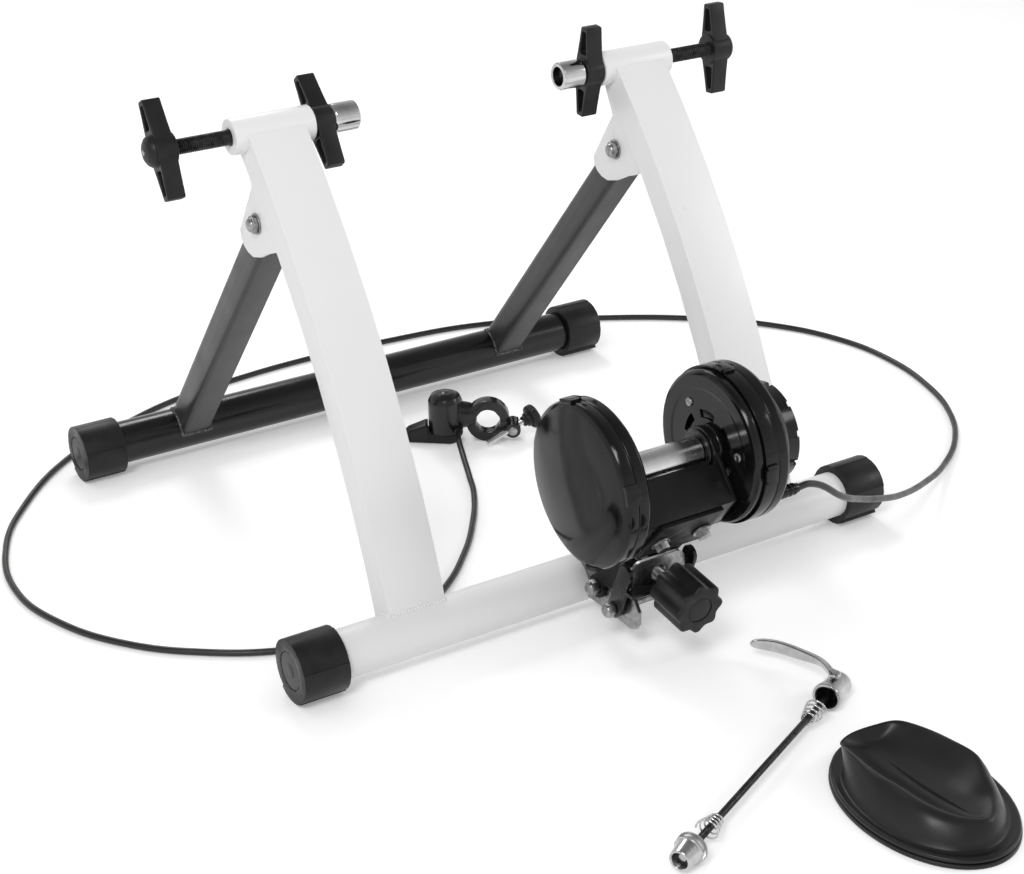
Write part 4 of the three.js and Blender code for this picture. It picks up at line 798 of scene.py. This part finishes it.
cap = lathed("cap", [
    (76.3, 39.5), (76.3, 46), (84.8, 46), (87.3, 44.6), (87.5, 41), (91.3, 39.6), (91.6, 38.5),
    (102, 38.5), (103, 37.2), (103, 30.5), (102.2, 29.8), (102.2, 12), (103, 11.2), (103, 2)],
    0.7, 96)
NOTCHES, NOTCH = 10, ((-2.5, 35.1), (2.5, 35.1), (2.5, 41), (-2.5, 41))
notches = [prism("notch", [(math.cos(turn) * u - math.sin(turn) * v,
                            math.sin(turn) * u + math.cos(turn) * v) for u, v in NOTCH],
                 99, 106, 0.05) for turn in (2 * math.pi * i / NOTCHES for i in range(NOTCHES))]
carved(cap, *notches)
wear(settle(cap, unit_place), gloss, "unit_arm", "gloss_plastic", "magnet_cover")

# Bracket on the front tube: zinc plated sheet welded to the tube, the black stirrup and the black
# swing arm inside it, and the bolts that they turn on.
for node, name, finish, body, slot in (
        ("base_bracket", "tube_bracket", zinc, "front_frame", "zinc_steel"),
        ("stirrup", "outer_stirrup", gloss_paint, "front_frame", "black_steel"),
        ("swing_arm", "unit_swing_arm", satin_paint, "unit_arm", "black_steel")):
    wear(dressed(node, name, 0.6), finish, body, slot, node)
CROWN_LAP = 0.0003
for node in ("arm_pivot_bolt", "stirrup_bolt"):
    low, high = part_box(node)
    ends = []
    for sign, x in ((-1, low.x), (1, high.x)):
        crown = turned("crown", [(-1, 5.4), (0, 5), (1, 4), (1.7, 2.6), (2, 0.8)], 32)
        crown.data.transform(facing(sign))
        settle(crown, Matrix.Translation((x - sign * CROWN_LAP, middle(node).y, middle(node).z)))
        ends.append(crown)
    bolt = welded(node + "_dressed", dressed(node, node + "_body", 0.4), *ends)
    wear(bolt, zinc, "front_frame", "zinc_steel", node)

# Adjusting screw and knob: a zinc plated screw through the bracket's web, and an eight-lobed
# black knob with a sunk round plate in its face, which presses the roller on the tyre.
SCREW_TILT = math.radians(7)
screw_axis = Vector((0, -math.cos(SCREW_TILT), -math.sin(SCREW_TILT)))
along_screw = at(0, STAND_MIDDLE - 288.5, 60) @ screw_axis.to_track_quat(
    "X", "Z").to_matrix().to_4x4()
screw = welded(
    "knob_screw", threaded("thread", 4, -41, 31, 1.25, 0.55),
    prism("nut", lobed(6.5, 6), -43, -38, 0.45),
    lathed("collar", [(14.5, 3), (14.5, 6), (18, 6), (18, 3)], 0.4, 40))
wear(settle(screw, along_screw), zinc, "adjuster", "zinc_steel", "adjusting_screw")
star = prism("star", lobed(19.6, 160, 1.6, 8), 18.5, 54.5, 2.0, (), 4)
carved(star, turned("sink", [(53.7, 10.4), (56, 10.4)], 64))
plate = lathed("plate", [(53.2, 9.7), (54.2, 9.7), (54.2, 3)], 0.35, 64)
knob = welded("star_knob", star, plate)
wear(settle(knob, along_screw), moulded, "adjuster", "matte_plastic", "adjusting_knob")

# Handlebar shifter: a moulded barrel on a clamp ring with a hinged lower half. A leaf-shaped
# thumb lever turns under the barrel, and a knurled screw with a bright tip closes the ring.
SHIFTER_TURN = math.radians(-31.5)
shifter_place = at(76, STAND_MIDDLE + 85, 0) @ Matrix.Rotation(SHIFTER_TURN, 4, "Z")
upright_axis = Matrix.Rotation(-math.pi / 2, 4, "Y")
across_axis = Matrix.Rotation(math.pi / 2, 4, "Z")
back_axis = Matrix.Rotation(-math.pi / 2, 4, "Z")
ring_axle, closing_axle, barrel_foot = at(0, 0, 20), at(23, 0, 13), at(-39, 0, 0)


def ring_pads(*angles):
    """The ribs inside the clamp ring that bite on the handlebar."""
    return [settle(prism("pad", [(-3.6, 10.9), (3.6, 10.9), (4.4, 13.5), (-4.4, 13.5)],
                         -5.6, 5.6, 0.5),
                   shifter_place @ ring_axle @ across_axis
                   @ Matrix.Rotation(math.radians(angle - 90), 4, "X")) for angle in angles]


def arc(centre, radius, start, sweep, steps):
    """Points on an arc round (centre, 0) in mm, with its start and sweep in degrees."""
    turns = [math.radians(start + sweep * i / steps) for i in range(steps + 1)]
    return [(centre + radius * math.cos(turn), radius * math.sin(turn)) for turn in turns]


glossy_moulding = coat("glossy_moulding", 0.008, 0.2, 0.45)
barrel = lathed("barrel", [
    (10.4, 2), (10.4, 15), (12.6, 15), (12.6, 14.4), (13.6, 14.4), (13.6, 15.8), (27, 15.8),
    (34, 15.2), (39.5, 13.6), (44, 10.8), (47.2, 6.8), (48.6, 2)], 1.5, 72)
settle(barrel, shifter_place @ barrel_foot @ upright_axis)
throat = lathed("throat", [
    (0, 6), (1, 14), (12, 13.6), (21, 11.8), (27, 9.4), (28, 5)], 1.5, 56)
throat.data.transform(Matrix.Diagonal((1, 0.78, 1, 1)))
settle(throat, shifter_place @ at(-38, 0, 25))
boot = lathed("boot", [
    (-3, 2.9), (-3, 4.3), (5, 4.3), (5.6, 3.7), (7, 3.7), (7.6, 4.2), (9, 4.2), (9.6, 3.6),
    (11, 3.6), (11.6, 4.1), (12.8, 4.1), (13.6, 3.3), (16.6, 3.1), (16.6, 2.8)], 0.25, 40)
settle(boot, shifter_place @ at(-27, 0, 14) @ back_axis)
shell = welded("shifter_shell", dressed("shifter_body", "shifter_frame", 0.7), barrel, throat,
               boot, *ring_pads(38, 142))
wear(shell, glossy_moulding, "shifter", "matte_plastic", "shifter_body")
pin = lathed("hinge_pin", [(-6.6, 0.8), (-6.5, 1.7), (6.5, 1.7), (6.6, 0.8)], 0.3, 24)
wear(settle(pin, shifter_place @ at(-18.5, 0, 20) @ across_axis), bright, "shifter", "zinc_steel")
boss = lathed("boss", [(-12.6, 3), (-12.6, 7.2), (6.4, 7.2), (6.4, 3)], 1.2, 48)
settle(boss, shifter_place @ closing_axle @ across_axis)
strap = welded("hinged_strap", dressed("shifter_strap", "strap", 0.7), boss, *ring_pads(218, 322))
wear(strap, glossy_moulding, "shifter_strap", "matte_plastic", "shifter_strap")
screw_head = lathed("screw_head", [(12, 2), (12, 4.2), (13.4, 4.2), (14, 3)], 0.4, 40)
settle(screw_head, shifter_place @ closing_axle @ back_axis)
wear(screw_head, zinc, "shifter_strap", "zinc_steel")
lever_lie = shifter_place @ barrel_foot @ Matrix(
    ((0, 1, 0, 0), (0, 0, 1, 0), (1, 0, 0, 0), (0, 0, 0, 1)))
# The lever's blade narrows towards its tip, and faster over its last quarter.
BLADE_ROOT, BLADE_LENGTH, NARROWING, TIP_NARROWING = -16.6, 24, 0.5, 0.3
tip = arc(-32, 8.5, 95, 170, 16)
disc = prism("disc", arc(0, 14, -72, 144, 20) + tip, 0.2, 9.8, 2.4, (), 4)
blade = prism("blade", [(BLADE_ROOT, -9.5), (BLADE_ROOT, 9.5)] + tip, 0.2, 19, 4.5, (), 6)
for vertex in blade.data.vertices:
    out = (BLADE_ROOT - vertex.co.y) / BLADE_LENGTH
    vertex.co.x *= 1 - NARROWING * out - TIP_NARROWING * max(0, 4 * out - 3) ** 2
paddle = welded("thumb_lever", settle(disc, lever_lie), settle(blade, lever_lie))
wear(paddle, moulded, "shifter_lever", "matte_plastic", "shifter_lever")
clamp_tip, clamp_knob = Vector((-1, -22, 5)), Vector((40, 3, 20))
clamp_length = (clamp_knob - clamp_tip).length
along_clamp = shifter_place @ at(*clamp_tip) @ (
    clamp_knob - clamp_tip).to_track_quat("X", "Z").to_matrix().to_4x4()
knurled = prism("knurled", lobed(11.1, 192, 0.25, 24), clamp_length - 2.4, clamp_length + 5.3,
                2.4, (), 4)
neck = lathed("neck", [
    (clamp_length - 9.4, 3), (clamp_length - 9.4, 5), (clamp_length - 6.4, 5),
    (clamp_length - 6, 6.6), (clamp_length - 2, 7.2), (clamp_length - 2, 3)], 0.5, 32)
wear(settle(welded("clamp_knob", knurled, neck), along_clamp), moulded, "shifter_clamp_screw",
     "grey_plastic", "shifter_clamp_screw")
spindle = lathed("clamp_spindle", [
    (0, 1.4), (0.6, 2.3), (14, 2.3), (14, 2.5), (clamp_length - 6, 2.5)], 0.4, 32)
wear(settle(spindle, along_clamp), bright, "shifter_clamp_screw", "zinc_steel")

# Quick release skewer: a black rod with a knurled cone nut, a hollow chromed head with its cam
# lever, and two cone springs of bright wire. It lies loose on the floor.
SKEWER_TURN = math.radians(25.378)
skewer_place = at(-145.5, STAND_MIDDLE - 524.5, 11) @ Matrix.Rotation(SKEWER_TURN, 4, "Z")
# The head's mouth is this far along the rod from the nut's face, in mm.
mouth = 211.622
spun = Finish("spun_chrome", Metallic=1.0)
lathe = spun.cloud(1.0, 3, (1600, 40, 40))
spun.set(Base_Color=spun.ramp(spun.cloud(90), (0.3, 0.42), (0.7, 0.58)),
         Roughness=spun.ramp(lathe, (0.3, 0.12), (0.75, 0.28)),
         Normal=spun.bump(lathe, 0.00002, 0.35))
plain = lathed("plain", [(28, 0.5), (28, 2.5), (231, 2.5), (231, 0.5)], 0.4, 32)
rod = welded("skewer_spindle", plain, threaded("skewer_thread", 2.5, -4.2, 30, 0.8, 0.3))
wear(settle(rod, skewer_place), oxide, "skewer", "black_steel", "skewer_rod")
knurl = prism("knurl", lobed(10.5, 448, 0.4, 56), 3.6, 9.8, 0.4)
cone = lathed("cone", [
    (11, 2.9), (11, 9.2), (10, 9.9), (3.4, 9.9), (3.2, 9.3), (-8.6, 7.6), (-9, 7.2), (-9, 6.2),
    (-8.4, 5.8), (-4.6, 5.4), (-4.6, 2.9)], 0.3, 64)
wear(settle(welded("cone_nut", cone, knurl), skewer_place), spun, "skewer_nut", "chrome",
     "skewer_nut")
# A black oxide disc at the floor of the nut's mouth is painted shade: it darkens the hollow round
# the rod's end.
nut_mouth_shade = lathed("nut_mouth_painted_shade", [
    (-4.9, 2.7), (-4.9, 5.3), (-4.4, 5.3), (-4.4, 2.7)], 0.1, 40, True)
wear(settle(nut_mouth_shade, skewer_place), oxide, "skewer_nut", "black_steel")
head = lathed("cam_head", [(mouth + along, radius) for along, radius in (
    (12, 2.9), (12, 8.8), (0, 8.8), (0, 11), (3.4, 11), (5.6, 9.6), (23, 9.6), (26, 8.2),
    (27, 5.5), (27, 2))], 0.6, 72)
wear(settle(head, skewer_place), spun, "skewer", "chrome", "skewer_head")
# A black oxide sleeve and floor line the head's mouth as painted shade: they darken the hollow
# inside the chrome.
head_mouth_shade = turned("head_mouth_painted_shade", [(mouth + along, radius) for along, radius in (
    (1.4, 8.75), (1.4, 8.3), (11.6, 8.1), (11.6, 2.9), (11.9, 2.9), (11.9, 8.75))], 56, True)
wear(settle(head_mouth_shade, skewer_place), oxide, "skewer", "black_steel")


def rounded(node, name):
    """A copy of a node as a smooth surface through its rings."""
    copy = dressed(node, name, 0, flat=0.02)
    bpy.ops.object.mode_set(mode="EDIT")
    bpy.ops.mesh.select_all(action="SELECT")
    bpy.ops.mesh.tris_convert_to_quads(
        face_threshold=math.radians(50), shape_threshold=math.radians(60))
    bpy.ops.object.mode_set(mode="OBJECT")
    smooth = copy.modifiers.new("smooth", "SUBSURF")
    smooth.levels = smooth.render_levels = 2
    bpy.ops.object.modifier_apply(modifier="smooth")
    bpy.ops.object.shade_smooth()
    return copy


wear(rounded("skewer_lever", "cam_lever"), spun, "skewer_lever", "chrome", "skewer_lever")
COILS, WIDE_END, NARROW_END, SPRING_LENGTH = 4, 8, 3.9, 16.8
for name, node, start, sign in (("nut_coil", "skewer_nut_spring", 28, 1),
                                ("head_coil", "skewer_head_spring", mouth - 17, -1)):
    wire = round_line(name, 0.75, 3)
    wire.use_fill_caps = True
    run = wire.splines.new("POLY")
    steps = COILS * 36
    run.points.add(steps)
    for i, knot in enumerate(run.points):
        angle = 2 * math.pi * COILS * i / steps
        radius = WIDE_END + (NARROW_END - WIDE_END) * i / steps
        knot.co = (start + sign * SPRING_LENGTH * i / steps, sign * radius * math.cos(angle),
                   radius * math.sin(angle), 1)
    coil = added(name, wire)
    bpy.ops.object.convert(target="MESH")
    wear(settle(coil, skewer_place, 60), bright, "skewer", "brushed_steel", node)

# Front wheel block: moulded rubber, an oval foot of two steps with a groove between them, and a
# body whose wavy rim runs round the trough that holds the tyre. It is matte, with a faint sheen.
rubber = Finish("block_rubber", Specular_IOR_Level=0.35)
rubber.set(Base_Color=rubber.ramp(rubber.cloud(28, 4), (0.3, 0.008), (0.75, 0.015)),
           Roughness=rubber.ramp(rubber.cloud(60, 3), (0.3, 0.3), (0.75, 0.44)),
           Normal=rubber.bump(rubber.cloud(1500, 3), 0.00008, 0.4))
# The rim's course is (along, across, height) in mm, and the foot's profile has shares of its oval
# with heights. The body's two lists are shares of the way in with shares of the rise: up the wall
# to the rim, and down from the rim to the middle of the trough.
OVAL_MIDDLE, OVAL_HALVES, OVAL_TURN = Vector((-2, 3, 0)), (76.5, 54.5), -0.123
RIM = ((54, 2, 22), (48, 14, 22), (37, 23.5, 22.5), (24.5, 29.5, 26), (7.5, 38, 30.5),
       (-13, 34.5, 32), (-33, 30, 32.5), (-49, 23, 32), (-57, 9, 29.5), (-62, -7, 27.5),
       (-60, -20, 26), (-49, -25, 28), (-18, -28, 28.5), (1, -26, 28), (24, -23.5, 26.5),
       (43, -13, 23.5))
FOOT = ((0.985, 0), (1, 0.7), (1, 2.9), (0.994, 3.4), (0.968, 3.6), (0.968, 4.4), (0.986, 4.6),
        (0.99, 5.1), (0.988, 6.4), (0.975, 7.2), (0.945, 7.4), (0.91, 6.7), (0.875, 6.8),
        (0.852, 8))
WALL = ((0.1, 0.22), (0.28, 0.5), (0.5, 0.77), (0.7, 0.92), (0.85, 0.985), (0.95, 1), (1, 0.99))
TROUGH = ((0.04, 0.96), (0.1, 0.88), (0.2, 0.72), (0.32, 0.53), (0.45, 0.34), (0.6, 0.16),
          (0.78, 0.04), (0.96, 0))
TROUGH_ENDS, TROUGH_LOW, TROUGH_LIFT = (-50, 44), 17, 3


def course(part):
    """A point of the rim, at a share of the way round it, on a smooth curve through RIM."""
    place = part % 1 * len(RIM)
    k, t = int(place), place % 1
    a, b, c, d = (Vector(RIM[(k + i) % len(RIM)]) for i in (-1, 0, 1, 2))
    return b + (c - a) * t / 2 + (2 * a - 5 * b + 4 * c - d) * t * t / 2 + (
        3 * b - a - 3 * c + d) * t ** 3 / 2


# The block starts as a plain drum of rings, one for each line of the three lists, with the foot's
# first. Each ring then takes its own place.
block = turned("front_wheel_block",
               [(i, 9) for i in range(len(FOOT) + len(WALL) + len(TROUGH))], 192)
for vertex in block.data.vertices:
    ring = round(vertex.co.x)
    rim = course(math.atan2(vertex.co.z, vertex.co.y) / (2 * math.pi))
    way = math.atan2(rim.y - OVAL_MIDDLE.y, rim.x - OVAL_MIDDLE.x)
    reach = 1 / math.hypot(math.cos(way - OVAL_TURN) / OVAL_HALVES[0],
                           math.sin(way - OVAL_TURN) / OVAL_HALVES[1])
    edge = OVAL_MIDDLE + Vector((reach * math.cos(way), reach * math.sin(way), 0))
    if ring < len(FOOT):
        share, height = FOOT[ring]
        vertex.co = OVAL_MIDDLE.lerp(edge, share) + Vector((0, 0, height))
    elif ring < len(FOOT) + len(WALL):
        share, rise = WALL[ring - len(FOOT)]
        foot_share, foot_top = FOOT[-1]
        vertex.co = OVAL_MIDDLE.lerp(edge, foot_share).lerp(rim, share)
        vertex.co.z = foot_top + (rim.z - foot_top) * rise
    else:
        share, rise = TROUGH[ring - len(FOOT) - len(WALL)]
        along = max(TROUGH_ENDS[0], min(TROUGH_ENDS[1], rim.x))
        low = TROUGH_LOW + TROUGH_LIFT * (along / TROUGH_ENDS[0]) ** 2
        vertex.co = rim.lerp(Vector((along, 0, low)), share)
        vertex.co.z = low + (rim.z - low) * rise
BLOCK_TURN = math.radians(-87)
settle(outward(block), at(26.5, STAND_MIDDLE - 556.9, 0) @ Matrix.Rotation(BLOCK_TURN, 4, "Z"), 50)
wear(block, rubber, "wheel_block", "black_rubber", "wheel_block")
